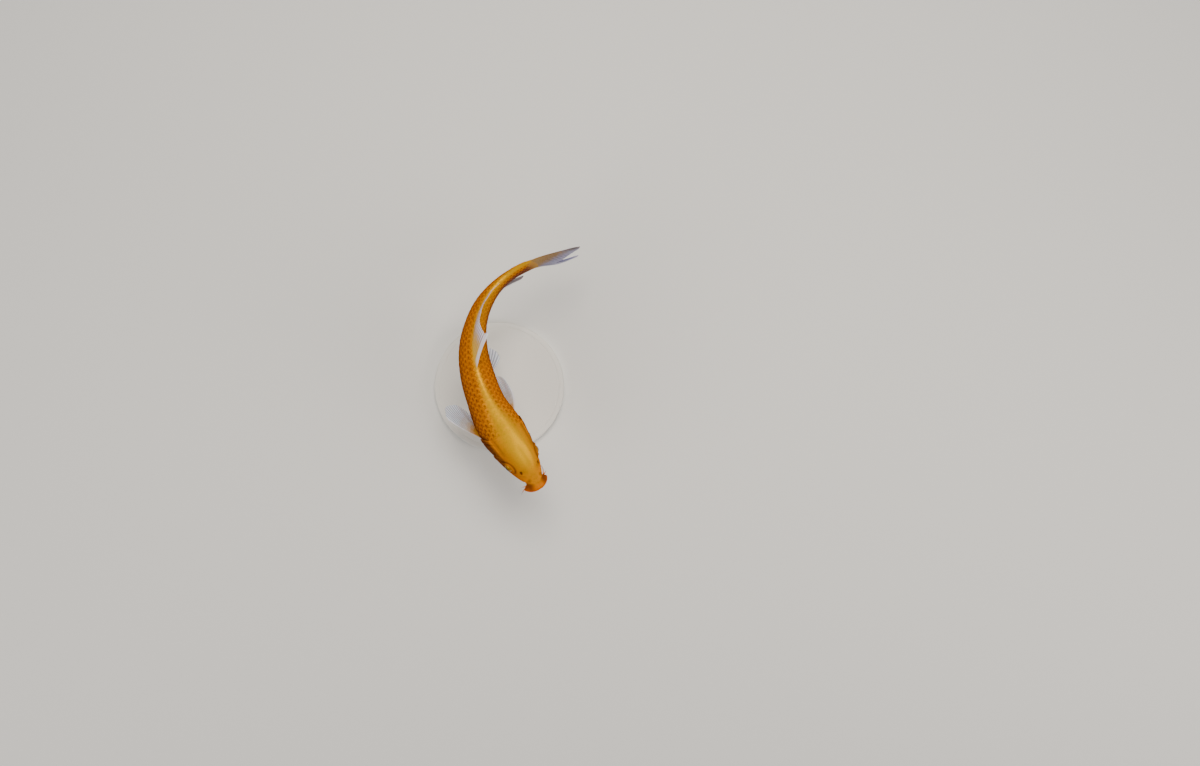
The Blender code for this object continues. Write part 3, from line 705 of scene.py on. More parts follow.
# %% The skin's map
MAP_START, MAP_LENGTH, MAP_HEIGHT = 0.02, 0.95, 0.98
gaps = np.linalg.norm(np.diff(rings, axis=0), axis=2).mean(axis=1)
ring_u = np.concatenate([[0], gaps.cumsum()])
ring_u = MAP_START + MAP_LENGTH * ring_u / ring_u[-1]
feeler_u = np.tile(np.arange(FEELER_SIDES) / FEELER_SIDES, FEELER_RINGS)
u_of = [np.repeat(ring_u, COLUMNS)]
u_of += [0.975 + 0.005 * k + 0.004 * feeler_u for k in range(len(FEELERS))]
v_of = [np.tile(ROUND / 2, len(rings))]
v_of += [0.1 + 0.5 * np.repeat(np.arange(FEELER_RINGS), FEELER_SIDES) / FEELER_RINGS] * len(FEELERS)
corners = corner_points(skin)
uv = np.stack([np.concatenate(u_of)[corners], np.concatenate(v_of)[corners]], -1)
for quad in skin.data.polygons:
    if len(quad.vertices) == 4 and quad.vertices[0] < rings.shape[0] * COLUMNS:
        part = uv[quad.loop_start : quad.loop_start + 4, 1]
        if part.max() - part.min() > 0.5:  # the face that closes the round
            part[part < 0.5] += 1.0
add_map(skin, "OFBake", uv * [1, MAP_HEIGHT])
print("skin map ready")

# %% [markdown]
# ## Scales
# A carp has about 36 scales along its side line and some 13 rows from the back to the belly.
# They overlap like roof tiles: each is rooted in the skin in front and lifts a little toward its
# rounded rear edge, and each row sits half a scale behind its neighbours. One scale is a fan of
# 32 quads with a rim, laid on the body by the same two coordinates as the skin.

# %% Rows of scales
ROWS_UP = ((60, 7.0), (150, 7.0), (190, 5.5), (228, 4.0), (246, 4.0))
ROWS_DOWN = ((60, 6.0), (150, 6.0), (190, 4.8), (228, 4.0), (246, 4.0))
PITCH = ((50, 5.2), (120, 5.2), (180, 4.7), (246, 3.8))
LENGTH_SHARE, WIDTH_SHARE = 1.66, 1.03
FAN, ARCS = 8, 4

line_height = along(LATERAL_LINE, 1, RULER)
LINE_SHARE = np.array([np.interp(h, HEIGHT_AT[i], SHARES) for i, h in enumerate(line_height)])


def row_share(row, x):
    """Share round the body of a row of scales; row 0 is the side line."""
    line = np.interp(x, RULER, LINE_SHARE)
    up = line + row * (1 - line) / along(ROWS_UP, 1, x)
    down = line + row * line / along(ROWS_DOWN, 1, x)
    return np.where(row >= 0, up, down)


def scale_roots():
    """Station, place round the body, length, half width and side-line flag of every scale."""
    roots, marks = [], [46.0]
    while marks[-1] < BODY_END:
        marks.append(marks[-1] + float(along(PITCH, 1, marks[-1])))
    for side in (1, -1):
        for row in range(-6, 8):
            for x in marks:
                pitch = float(along(PITCH, 1, x))
                x = x + (pitch / 2 if row % 2 else 0)
                length = LENGTH_SHARE * pitch
                share = float(row_share(row, x + length / 2))
                spacing = (1 - np.interp(x, RULER, LINE_SHARE)) / along(ROWS_UP, 1, x)
                if row < 0:
                    spacing = np.interp(x, RULER, LINE_SHARE) / along(ROWS_DOWN, 1, x)
                if share > 1 + 0.2 * spacing or share < -0.2 * spacing:
                    continue
                on_middle = min(1 - share, share) < 0.24 * spacing
                if on_middle and side < 0:
                    continue
                if on_middle:
                    share = round(share)
                edge = float(head_edge(share))
                ahead = 0.55 if cover_window(share) > 0.5 else 1.3
                if x < edge - ahead * length or x + length > BODY_END - 3:
                    continue
                half = WIDTH_SHARE * spacing * np.interp(x, RULER, HALF_GIRTH)
                roots.append((x, share if side > 0 else 2 - share, length, half, row == 0))
    return np.array(roots, float)


roots = scale_roots()
print(len(roots), "scales")

# %% The shape of one scale
FAN_ANGLES = np.radians(np.linspace(-90, 90, FAN + 1))
ARC_SHARES = np.linspace(0.30, 1, ARCS + 1)
SCALE_U = np.concatenate([a * np.cos(FAN_ANGLES) ** 0.85 for a in ARC_SHARES])
SCALE_V = np.concatenate([np.sin(FAN_ANGLES) * (0.70 + 0.30 * a) for a in ARC_SHARES])
TOP = len(SCALE_U)
RIM = list(range(TOP - FAN - 1, TOP))
UNDER = list(range(TOP, TOP + FAN + 1))
SCALE_U = np.concatenate([SCALE_U, SCALE_U[RIM]])
SCALE_V = np.concatenate([SCALE_V, SCALE_V[RIM]])

scale_faces = [list(range(FAN + 1))]  # the patch at the root
for a in range(ARCS):
    for c in range(FAN):
        i = a * (FAN + 1) + c
        scale_faces.append([i, i + FAN + 1, i + FAN + 2, i + 1])
for c in range(FAN):
    scale_faces.append([RIM[c], UNDER[c], UNDER[c + 1], RIM[c + 1]])
root_line = [a * (FAN + 1) for a in range(ARCS + 1)]
scale_faces.append(root_line + [UNDER[0], UNDER[-1]] + [i + FAN for i in root_line[::-1]])
scale_faces.append(UNDER[::-1])
print("one scale:", len(scale_faces), "faces")

# %% All the scales
SCALE_RISE, SCALE_THICK = 0.10, 0.06  # the root is this deep in the skin; the rear edge's rim
random = np.random.default_rng(7)


def lay_scales(rows):
    """Straight-fish points, place round the body, and four random numbers for each scale."""
    count = len(rows)
    jitter = random.uniform(-1, 1, (count, 4))
    x, g, length, half = (rows[:, k, None] for k in range(4))
    length = length * (1 + 0.03 * jitter[:, 0:1])
    side = np.where(g <= 1, 1.0, -1.0)
    girth = np.interp(x, RULER, HALF_GIRTH)
    tilt = 0.05 * jitter[:, 1:2]
    u, v = SCALE_U[None, :], SCALE_V[None, :]
    x = x + length * u + half * v * tilt
    g = g + side * (half * v - length * u * tilt) / girth
    high = -COAT - SCALE_RISE + (COAT + SCALE_RISE) * u + 0.03 * jitter[:, 2:3] * u
    high = high + 0.08 * np.sin(math.pi * np.clip(u, 0, 1)) * (1 - v**2)
    high = high + 0.16 * rows[:, 4, None] * bump(v, 0.13) * bump(u - 0.72, 0.2)
    low = np.arange(len(SCALE_U)) >= TOP
    high = high - SCALE_THICK * low
    behind, free = x - head_edge(g), cover_window(g)
    high = high - 0.55 * free * np.exp(-np.maximum(behind, 0) / 2.2)
    high = high - 0.30 * (1 - free) * (1 - smooth(-4, 7, behind))
    at = surface(x, g) + high[..., None] * outward(x, g)
    return at, g, jitter


at, g, jitter = lay_scales(roots)
count, each = at.shape[:2]
faces = [[k * each + i for i in face] for k in range(count) for face in scale_faces]
right = roots[:, 1] > 1
faces = [f[::-1] if right[n // len(scale_faces)] else f for n, f in enumerate(faces)]
scales = mesh_object("scales", bend(at), faces)
print("scales:", len(scales.data.polygons), "faces")

# %% Values and maps of the scales
PATCH = 0.0034
marks = masks(at[..., 0], g, at[..., 1])
# How strong the dark spot of a scale and the painted shadow at its root are: weak on the bright
# back, strong on the flank.
spotted = smooth(0.8, 0.1, marks["yellow_and_highlight"], 0.26, 1.0)
spotted = spotted * smooth(0.93, 0.66, girth_share(g), 0.72, 0.95)
spotted = spotted * smooth(-1.2, 1, jitter[:, 3:], 0.62, 1.0) * smooth(0.9, 0.1, marks["cream"])
tone = np.repeat(smooth(-1, 1, jitter[:, 3], 0.94, 1.04), each)
add_values(scales, **marks, spotted=spotted, tone=tone)
corners = corner_points(scales)
own = np.stack([np.tile(SCALE_U, count), np.tile(0.5 + 0.5 * SCALE_V, count)], -1)
add_map(scales, "OwnPlace", own[corners])
ring_x = rings[FACE_RING:, :, 0].mean(axis=1)
root_u = np.interp(roots[:, 0], ring_x, ring_u[FACE_RING:])
root_v = roots[:, 1] / 2 * MAP_HEIGHT
patch = np.stack([np.repeat(root_u, each), np.repeat(root_v, each)], -1) + PATCH * (own - 0.5)
add_map(scales, "OFBake", patch[corners])
scales.data.set_sharp_from_angle(angle=math.radians(45))
print("spots between", round(float(spotted.min()), 2), "and", round(float(spotted.max()), 2))

# %% [markdown]
# ## Eyes
# A koi's eye is a flattened ball with a wide black pupil in a thin gold iris, under a clear wet
# cornea. The ball starts as a sphere; its front is pushed out a little for the cornea, and the
# distance from the pupil's middle is kept on every point, for the material to paint rings by.


# %% Eyes
def place_eye(side):
    """Matrix from a unit ball, its pole along +Z, to the eye's place in the head."""
    tangent, left, up = (Vector(v) for v in rolled(EYE[0])[1:])
    place = Vector(bend([EYE[0], side * EYE[1], EYE[2]]))
    out = float(EYE_AXIS[1] * side) * left + float(EYE_AXIS[2]) * up + float(EYE_AXIS[0]) * tangent
    back = (tangent - tangent.dot(out) * out).normalized()
    turn = Matrix([back, out.cross(back), out]).transposed().to_4x4()
    size = Matrix.Diagonal((EYE_RADIUS * MM, EYE_RADIUS * MM, EYE_BULGE * MM, 1))
    return Matrix.Translation(place) @ turn @ size


def eye(name, side):
    bpy.ops.object.select_all(action="DESELECT")
    bpy.ops.mesh.primitive_uv_sphere_add(segments=64, ring_count=40, radius=1)
    ball = bpy.context.object
    ball.name = name
    co = np.empty(len(ball.data.vertices) * 3)
    ball.data.vertices.foreach_get("co", co)
    co = co.reshape(-1, 3)
    from_pole = np.degrees(np.arctan2(np.hypot(co[:, 0], co[:, 1]), co[:, 2]))
    co *= 1 + 0.055 * (1 - smooth(22, 50, from_pole))[:, None]
    ball.data.vertices.foreach_set("co", co.ravel())
    ball.data.transform(place_eye(side))
    add_values(ball, from_pole=from_pole / 90)
    ball.data.shade_smooth()
    return ball


eyes = [eye("eye_ball_left", 1), eye("eye_ball_right", -1)]
print("eyes:", [e.name for e in eyes])

# %% [markdown]
# ## Fins
# A fin is a fan of bony rays joined by a membrane thinner than paper. The rays start single and
# fork toward the edge. Each fin here is one sheet with two sides: tables give the reach of its
# rays, and the thickness rises over every ray and sinks over the membrane between, so that the
# rays are real shape and not paint. The numbers are those of the solid model's fins.


# %% Helpers for fins
def skin_place(x, turn, distance):
    """Point that far outside the outline, square to the section, in metres."""
    y0, z0 = section(x, turn - 0.0175)
    y1, z1 = section(x, turn + 0.0175)
    size = np.hypot(y1 - y0, z1 - z0)
    y, z = section(x, turn)
    y, z = y + distance * (z1 - z0) / size, z - distance * (y1 - y0) / size
    return bend(np.stack(np.broadcast_arrays(x, y, z), -1))


def level_offset(x, back, left, up):
    _, tangent, aside = frames(x)
    return MM * (back[..., None] * tangent + left[..., None] * aside + up[..., None] * UP)


def spine_point(x):
    zero = np.zeros_like(x)
    return bend(np.stack([x, zero, zero], -1))


FORKS = (0.42, 0.72)  # shares of its length where a ray forks, and forks again
WEB_THICK, INSIDE_BODY = 0.13, -0.06  # the web in millimetres; where the sheet starts, as a share


def ray_ridges(u, v, count):
    """1 on a ray and 0 on the membrane, for rays that fork twice on their way out."""
    f = (u * count) % 1 - 0.5
    one = 0.17 * smooth(FORKS[0], 1.1, v)
    two = 0.085 * smooth(FORKS[1], 1.1, v)
    width = 0.17 - 0.085 * smooth(FORKS[0] - 0.1, FORKS[0] + 0.15, v)
    near = [np.abs(f - a * one - b * two) for a in (-1, 1) for b in (-1, 1)]
    return bump(np.min(near, axis=0), width)


def fin_values(u, v, ray, front, clear=0.80, stain=0.0, lobes=0.0):
    """What a fin's finish reads. Clear is the web's cover, stain the gold behind the front rays,
    and lobes how far the body's colour runs up the upper lobe of the tail."""
    cover = np.maximum(smooth(0.05, 0.45, ray, clear, 0.98), smooth(0.35, 0.05, v, clear, 1.0))
    return {
        "ray": ray,
        "out": v,
        "reach": v - lobes * (u - 0.45),
        "cover": np.maximum(cover, smooth(0.05, 0.6, front, clear, 1.0)),
        "stained": stain * smooth(0.46, 0.22, u),
        # Painted shade on the tip of the tail's upper lobe.
        "tip_shade": 0.8 * (lobes > 0) * smooth(0.62, 0.9, v) * smooth(0.84, 0.93, u),
        "white_leaf": front * smooth(0, 0.2, v) * smooth(0, 0.6, ray, 0.72, 0.97),
    }


def fin(name, place, rays, ray_thick, per_ray=10, rows=34, flesh=1.2, fleshy=0.2, lead=0.0,
        wave=0.5, leaf=1.0, notch=0.0, **looks):
    """Two-sided sheet over place(u, v); u runs from the first ray to the last, v outward."""
    u = np.linspace(0, 1, rays * per_ray + 1)[:, None]
    v = np.linspace(INSIDE_BODY, 1, rows + 1)[None, :]
    u, v = np.broadcast_arrays(u, v)
    nth = u * rays
    ray = ray_ridges(u, v, rays)

    # Outline: the web stops short of the ray tips, and a notch parts the front leaf.
    reach = v * (1 - 0.012 * (1 - ray) * smooth(0.8, 1, v))
    arch = 0.15 * (nth - 0.8) ** 2 * (nth < leaf) + 0.08 * bump(nth - leaf - 0.35, 0.40)
    middle = place(u, reach * (1 - notch * arch * smooth(0.45, 1, v)))
    normal = np.cross(np.gradient(middle, axis=0), np.gradient(middle, axis=1))
    normal /= np.linalg.norm(normal, axis=-1, keepdims=True)
    ripple = wave * MM * smooth(0.1, 1, v) * np.sin(2 * math.pi * (rays / 5.3 * u + 0.35 * v))
    middle = middle + ripple[..., None] * normal

    # Thickness: web, rays, the stout leading ray and the fleshy root, thin at all edges.
    bone = ray_thick * (1 - 0.72 * smooth(0, 1, v)) * ray
    front = lead * bump(nth, 0.8) * (1 - 0.55 * smooth(0.2, 1, v))
    root = flesh * (1 - smooth(-0.02, fleshy, v)) * np.sqrt(np.clip(1 - (2 * u - 1) ** 2, 0.05, 1))
    half = 0.5 * (WEB_THICK + bone + front + root)
    half = half * np.sqrt(np.clip(np.minimum(u, 1 - u) * rays / 0.28, 0.06, 1))
    half = (half * np.where(v >= 0.999, 0.35, 1) * MM)[..., None] * normal

    # Faces: one side, the other side turned round, and the rim between them.
    n, m = u.shape
    index = np.arange(n * m).reshape(n, m)
    quads = np.stack([index[:-1, :-1], index[1:, :-1], index[1:, 1:], index[:-1, 1:]], -1)
    quads = quads.reshape(-1, 4)
    border = np.concatenate([index[:-1, 0], index[-1, :-1], index[:0:-1, -1], index[0, :0:-1]])
    after = np.roll(border, -1)
    rim = np.stack([after, border, border + n * m, after + n * m], -1)
    faces = quads.tolist() + (quads[:, ::-1] + n * m).tolist() + rim.tolist()
    sides = [(middle + half).reshape(-1, 3), (middle - half).reshape(-1, 3)]
    obj = mesh_object(name, np.concatenate(sides), faces)

    band = 1 - smooth(leaf - 0.5, leaf + 0.5, nth)
    values = fin_values(u, v, ray, band, **looks)
    add_values(obj, **{key: np.tile(value.ravel(), 2) for key, value in values.items()})
    corners = corner_points(obj)
    flat_u = np.where(corners >= n * m, 0.51, 0.01) + 0.48 * np.tile(u.ravel(), 2)[corners]
    flat_v = 0.02 + 0.9 * (np.tile(v.ravel(), 2)[corners] - INSIDE_BODY)
    add_map(obj, "OFBake", np.stack([flat_u, flat_v], -1))
    print(name, len(obj.data.polygons), "faces")
    return obj


# %% Fins along the middle
# Place along the root, then the ray's reach back, left and up.
DORSAL_BASE, ANAL_BASE = (128.0, 206.0), (190.0, 212.0)
DORSAL_RAYS = (
    (0.00, 33.5, 15.0, 21.0),
    (0.05, 32.0, 13.5, 20.0),
    (0.14, 25.5, 9.5, 17.2),
    (0.28, 21.0, 5.6, 14.0),
    (0.45, 17.0, 3.0, 11.5),
    (0.70, 14.5, 1.6, 8.5),
    (1.00, 12.0, 1.0, 5.0),
)
ANAL_RAYS = (
    (0.00, 37.0, 5.8, -14.0),
    (0.15, 41.5, 6.4, -12.0),
    (0.60, 37.0, 6.0, -6.5),
    (1.00, 28.0, 4.6, -4.0),
)


def middle_fin(rays, base, turn):
    def place(u, v):
        x = base[0] + (base[1] - base[0]) * u
        back, left, up = (along(rays, k, u) for k in (1, 2, 3))
        end = x + back * v * (0.85 + 0.15 * v)
        swept = spine_point(end) - spine_point(x)
        lift = level_offset(end, 0 * v, left * v, up * v * (1.25 - 0.25 * v))
        return skin_place(x, turn, 0.5) + swept + lift

    return place


dorsal = fin("dorsal_fin_rays", middle_fin(DORSAL_RAYS, DORSAL_BASE, math.pi / 2), 21, 0.34,
             lead=1.0, wave=0.2, leaf=1.65, notch=1.0, clear=0.86, stain=0.95)
anal = fin("anal_fin_rays", middle_fin(ANAL_RAYS, ANAL_BASE, -math.pi / 2), 8, 0.34,
           per_ray=12, lead=0.8, wave=0.3, clear=0.90)


# %% Tail fin
def tail_place(u, v):
    span = 2 * u - 1
    share = np.abs(span)
    lobe = 1 - (1 - LOWER_LOBE) * smooth(0.1, -0.1, span)
    back, rise = (along(TAIL_RAYS, k, share) * lobe for k in (1, 2))
    start = TAIL_ROOT_RISE * share
    height = start + (np.maximum(rise, start * (1 - v) + rise * v) - start) * v
    lag = TAIL_CUP * (1 - share**2) * np.sin(math.pi * np.maximum(v, 0) / 2)
    x = TAIL_ROOT + back * v
    return bend(np.stack([x, lag, np.sign(span) * height], -1))


tail = fin("tail_fin_rays", tail_place, 20, 0.40, rows=44, flesh=2.2, fleshy=0.5, wave=0.3,
           leaf=-1.0, clear=0.82, lobes=0.75)

# %% Paired fins
# Each root: first and last station, and angle below the side. Rays: place along the root, reach
# back, outward and up, and sideways bow.
PECTORAL_ROOT = ((70.5, 35.0), (78.0, 44.0))
PELVIC_ROOT = ((116.5, 64.0), (124.0, 73.0))
PECTORAL_RIGHT = (
    (0.00, 32.5, 19.8, -19.0, 1.2),
    (0.12, 37.5, 20.0, -21.5, 2.0),
    (0.35, 42.0, 15.0, -21.0, 2.2),
    (0.65, 35.0, 6.5, -17.0, 1.5),
    (0.88, 23.5, 2.0, -12.5, 1.0),
    (1.00, 10.0, 0.0, -6.0, 0.0),
)
PECTORAL_LEFT = (
    (0.00, 33.0, 12.0, -13.8, 5.0),
    (0.12, 38.5, 11.4, -15.6, 4.9),
    (0.35, 41.0, 7.5, -18.0, 4.0),
    (0.65, 33.0, 3.5, -17.0, 2.0),
    (0.88, 21.0, 1.5, -11.5, 1.0),
    (1.00, 12.0, 0.0, -7.0, 0.0),
)
PELVIC_LEFT = (
    (0.00, 15.0, 14.5, -21.0, 1.0),
    (0.12, 18.5, 17.0, -24.0, 1.5),
    (0.40, 25.5, 14.5, -22.5, 1.5),
    (0.75, 26.0, 8.5, -16.5, 1.0),
    (1.00, 14.0, 3.0, -9.0, 0.5),
)
PELVIC_RIGHT = (
    (0.00, 16.0, 7.5, -24.5, 1.0),
    (0.12, 20.0, 8.5, -27.0, 1.0),
    (0.40, 26.0, 6.5, -24.0, 1.0),
    (0.75, 24.5, 3.5, -17.0, 0.5),
    (1.00, 14.0, 1.0, -9.0, 0.0),
)


def paired_place(side, root, rays):
    (first, steep), (final, steeper) = root
    centre = np.array((first + final) / 2)

    def place(u, v):
        x = first + (final - first) * u
        turn = -np.radians(steep + (steeper - steep) * u)
        start = skin_place(x, turn if side > 0 else math.pi - turn, 1.0)
        back, out, up, bow = (along(rays, k, u) for k in (1, 2, 3, 4))
        aside = side * (out * v + 4 * bow * v * (1 - v))
        return start + level_offset(centre + 0 * u, back * v, aside, up * v * (0.8 + 0.2 * v))

    return place


PECTORAL = {"rays": 16, "per_ray": 10, "leaf": 1.5}
PELVIC = {"rays": 9, "per_ray": 12, "leaf": 1.0}
paired = [
    fin(name, paired_place(side, root, table), ray_thick=0.26, lead=0.5, **build)
    for name, side, root, table, build in (
        ("pectoral_rays_left", 1, PECTORAL_ROOT, PECTORAL_LEFT, PECTORAL),
        ("pectoral_rays_right", -1, PECTORAL_ROOT, PECTORAL_RIGHT, PECTORAL),
        ("pelvic_rays_left", 1, PELVIC_ROOT, PELVIC_LEFT, PELVIC),
        ("pelvic_rays_right", -1, PELVIC_ROOT, PELVIC_RIGHT, PELVIC),
    )
]

# %% [markdown]
# ## The stand
# A turned wooden disc under satin off-white paint, with a shallow bead near its rim, and two
# brushed steel rods that end in the belly. Both are lathe work, so a cylinder primitive is
# shaped with inset and bevel, as by hand.

# %% Base
low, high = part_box("stand_base")
BASE_RADIUS = (high.x - low.x) / 2
BEAD = ((0.0045, 0.0), (0.0007, -0.0007), (0.0007, 0.0007), (0.0012, 0.0))  # width, step down


def ease(obj, width, segments, angle):
    """Rounds the edges sharper than an angle, then smooths the shading between them."""
    bevel = obj.modifiers.new("eased edges", "BEVEL")
    bevel.width, bevel.segments = width, segments
    bevel.limit_method, bevel.angle_limit = "ANGLE", math.radians(angle)
    bpy.ops.object.modifier_apply(modifier=bevel.name)
    bpy.ops.object.shade_smooth_by_angle(angle=math.radians(40))


def turned(x, y, radius, foot, top, sides):
    """Upright cylinder between two heights, its place in its mesh."""
    bpy.ops.object.select_all(action="DESELECT")
    bpy.ops.mesh.primitive_cylinder_add(
        vertices=sides, radius=radius, depth=top - foot, location=(x, y, (top + foot) / 2)
    )
    bpy.ops.object.transform_apply(location=True, rotation=False, scale=False)
    return bpy.context.object


base = turned(0, 0, BASE_RADIUS, 0, high.z, 160)
base.name = "stand_disc"
bpy.ops.object.mode_set(mode="EDIT")
bpy.ops.mesh.select_mode(type="FACE")
bpy.ops.mesh.select_all(action="DESELECT")
bm = bmesh.from_edit_mesh(base.data)
for face in bm.faces:
    face.select = face.normal.z > 0.9
bmesh.update_edit_mesh(base.data)
for thickness, depth in BEAD:
    bpy.ops.mesh.inset(thickness=thickness, depth=depth)
bpy.ops.object.mode_set(mode="OBJECT")
ease(base, 1.4 * MM, 4, 60)
print("base:", len(base.data.polygons), "faces")


# %% Rods
def rod(name, node):
    """Steel rod from the base into the belly, with a small collar at its foot."""
    low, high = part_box(node)
    x, y, radius = (low.x + high.x) / 2, (low.y + high.y) / 2, (high.x - low.x) / 2
    top, foot = high.z + 1.6 * MM, low.z - 0.3 * MM
    post = turned(x, y, radius, foot, top, 40)
    collar = turned(x, y, 1.7 * radius, foot, foot + 1.8 * MM, 40)
    post.select_set(True)
    collar.select_set(True)
    bpy.context.view_layer.objects.active = post
    bpy.ops.object.join()
    post.name = name
    ease(post, 0.4 * MM, 3, 30)
    return post


rods = [rod("stand_post_front", "stand_rod_front"), rod("stand_post_rear", "stand_rod_rear")]
print("rods:", [r.name for r in rods])

# %% [markdown]
# ## Finishes
# Koi skin is a thin clear layer over cells full of orange pigment and over plates of guanine
# crystals that shine like dull metal. So the colours run from orange to yellow, and shine a
# little like metal where the crystals lie. The wet film is very thin, because a stronger one
# washes the colour out at the outline. Each scale is dark at its middle, and a painted shadow
# darkens its root. Painted shade and painted highlights are laid into the colours as well.


# %% Helpers for finishes
def srgb(code):
    """Linear colour from a hex code."""
    values = [int(code[i : i + 2], 16) / 255 for i in (1, 3, 5)]
    return [v / 12.92 if v <= 0.04045 else ((v + 0.055) / 1.055) ** 2.4 for v in values] + [1]


def put(tree, socket, value):
    """Links another node's output to a socket, or sets the socket's own value."""
    if isinstance(value, bpy.types.NodeSocket):
        tree.links.new(value, socket)
    else:
        socket.default_value = value


def add(tree, kind, inputs=(), out=0, **settings):
    """One node with its settings and its inputs, in order or by socket. Gives one output."""
    node = tree.nodes.new("ShaderNode" + kind)
    for key, value in settings.items():
        setattr(node, key, value)
    for socket, value in inputs.items() if isinstance(inputs, dict) else enumerate(inputs):
        put(tree, node.inputs[socket], value)
    return node.outputs[out]


def shade(tree, **sockets):
    """Sets or links sockets of the finish's shader by name."""
    shader = tree.nodes["Principled BSDF"]
    for socket, value in sockets.items():
        put(tree, shader.inputs[socket.replace("_", " ")], value)


def new_finish(name, **sockets):
    """Material and its tree; the sockets of its shader that hold plain values are given."""
    made = bpy.data.materials.new(name)
    made.use_nodes = True
    shade(made.node_tree, **sockets)
    return made, made.node_tree


def coats(tree, colour, *layers):
    """Colours laid over a colour one after another, each by its share: pigments, painted shade and
    painted highlights.
    """
    for share, pigment in layers:
        colour = add(tree, "Mix", {0: share, 6: colour, 7: pigment}, out=2, data_type="RGBA")
    return colour


# Settings that come again and again.
FACTOR = {"out": "Fac"}
S_CURVE = {"interpolation_type": "SMOOTHSTEP"}
TIMES, PLUS, MINUS = ({"operation": kind} for kind in ("MULTIPLY", "ADD", "SUBTRACT"))
print("helpers ready")

# %% Pigments of the koi, with painted shade and painted highlights
# Brown also paints shade down the flanks.
# Yellow is the back's own colour and also paints a highlight along it.
AMBER, YELLOW_AND_HIGHLIGHT, BROWN_AND_SHADE = srgb("#C86E00"), srgb("#E2A800"), srgb("#622A00")
# Orange also paints the highlight along the top of each gill cover.
# The last colour here is painted shade for the cheeks and gill covers.
ORANGE_AND_HIGHLIGHT, CREAM, CHEEK_SHADE = srgb("#E28200"), srgb("#BC985A"), srgb("#48220E")
# The first colour here is painted shade with a painted bluish reflection, for the inner flank
# toward the tail.
INNER_FLANK_SHADE, FLECK = srgb("#6A4648"), srgb("#D88400")
# The last two colours here are painted shade: in the folds of the face, and in the mouth, nostrils,
# lip corners and gill slits.
LIP, WHISKER, CREASE_SHADE, RECESS_SHADE = (
    srgb(code) for code in ("#CC5A00", "#B9C6DA", "#3A1600", "#48190A")
)
# The first colour here darkens both each scale's spot and a painted shadow at its root.
# The second colour here is a painted highlight on each scale's rear rim, over its paler edge.
SPOT_AND_SHADOW, RIM_HIGHLIGHT = srgb("#4C1E00"), srgb("#DC8E00")
SHEEN = srgb("#FFA63A")  # crystals under pigment reflect warm, not white


def koi_colour(tree):
    """The markings with painted light: amber, with each other colour laid over it by its mask; some
    of these are painted shade and painted highlights.
    """
    orange_and_highlight, brown_and_shade, cream, cheek_shade, inner_flank_shade, yellow_and_highlight = (
        add(tree, "Attribute", attribute_name=name, **FACTOR)
        for name in ("orange_and_highlight", "brown_and_shade", "cream", "cheek_shade", "inner_flank_shade", "yellow_and_highlight")
    )
    # Three soft noises: size of the blotches, detail, and the range that each is turned into.
    place = add(tree, "TexCoord", out="Object")
    uneven = []
    for size, detail, *span in (
        (5 * MM, 3.0, 0.35, 0.68, -0.20, 0.20),
        (3.5 * MM, 4.0, 0.35, 0.62, 0.55, 1.0),
        (1.2 * MM, 3.0, 0.50, 0.76, 0.0, 0.34),
    ):
        inputs = {"Vector": place, "Scale": 1 / size, "Detail": detail, "Roughness": 0.6}
        soft = add(tree, "TexNoise", inputs, **FACTOR)
        uneven.append(add(tree, "MapRange", (soft, *span), **S_CURVE))
    blotch, cloud, fleck = uneven
    # Blotches break up the brown and its painted flank shade.
    brown_and_shade = add(tree, "Math", (brown_and_shade, blotch), use_clamp=True, **PLUS)
    # The painted cheek shade lies in soft clouds.
    cheek_shade = add(tree, "Math", (cheek_shade, cloud), **TIMES)
    return coats(
        tree, AMBER, (orange_and_highlight, ORANGE_AND_HIGHLIGHT), (brown_and_shade, BROWN_AND_SHADE), (cream, CREAM), (cheek_shade, CHEEK_SHADE),
        (inner_flank_shade, INNER_FLANK_SHADE), (fleck, FLECK), (yellow_and_highlight, YELLOW_AND_HIGHLIGHT),
    )


def crystals(tree):
    """How metallic: most on the yellow back, where crystals lie over the pigment."""
    yellow_and_highlight = add(tree, "Attribute", attribute_name="yellow_and_highlight", **FACTOR)
    return add(tree, "MapRange", (yellow_and_highlight, 0.0, 0.6, 0.10, 0.30), **S_CURVE)


print("pigments ready")

# %% [markdown]
# ### Skin
# The head is covered by wet hide without scales. It shines softly and evenly, and only its pores,
# about 0.7 mm apart, break the shine. They are shallower than a hair, so a bump gives them and
# not the mesh. Lips and feelers carry pigments of their own; the folds, the mouth, the nostrils,
# the lip corners and the gill slits carry painted shade.

# %% Skin: wet scaleless hide over crystal-bearing pigment
skin_finish, tree = new_finish(
    "wet_golden_skin", Specular_IOR_Level=0.0, Specular_Tint=SHEEN, Coat_Weight=0.02,
    Coat_Roughness=0.08, Subsurface_Weight=0.06, Subsurface_Scale=0.002,
)
lip, whisker, crease, recess_shade = (
    add(tree, "Attribute", attribute_name=name, **FACTOR)
    for name in ("lip", "whisker", "crease", "recess_shade")
)
# Painted shade in the creases and in the mouth, nostrils, lip corners and gill slits.
colour = coats(
    tree, koi_colour(tree), (lip, LIP), (whisker, WHISKER), (crease, CREASE_SHADE), (recess_shade, RECESS_SHADE)
)
place = add(tree, "TexCoord", out="Object")
pores = {"Vector": place, "Scale": 1 / (0.7 * MM), "Detail": 3.0}
pores = add(tree, "TexNoise", pores, **FACTOR)
shade(
    tree,
    Base_Color=colour,
    Metallic=crystals(tree),
    Roughness=add(tree, "MapRange", (pores, 0.3, 0.7, 0.26, 0.42), **S_CURVE),
    Normal=add(tree, "Bump", {"Height": pores, "Strength": 0.10, "Distance": 0.0003}),
)
print(skin_finish.name)

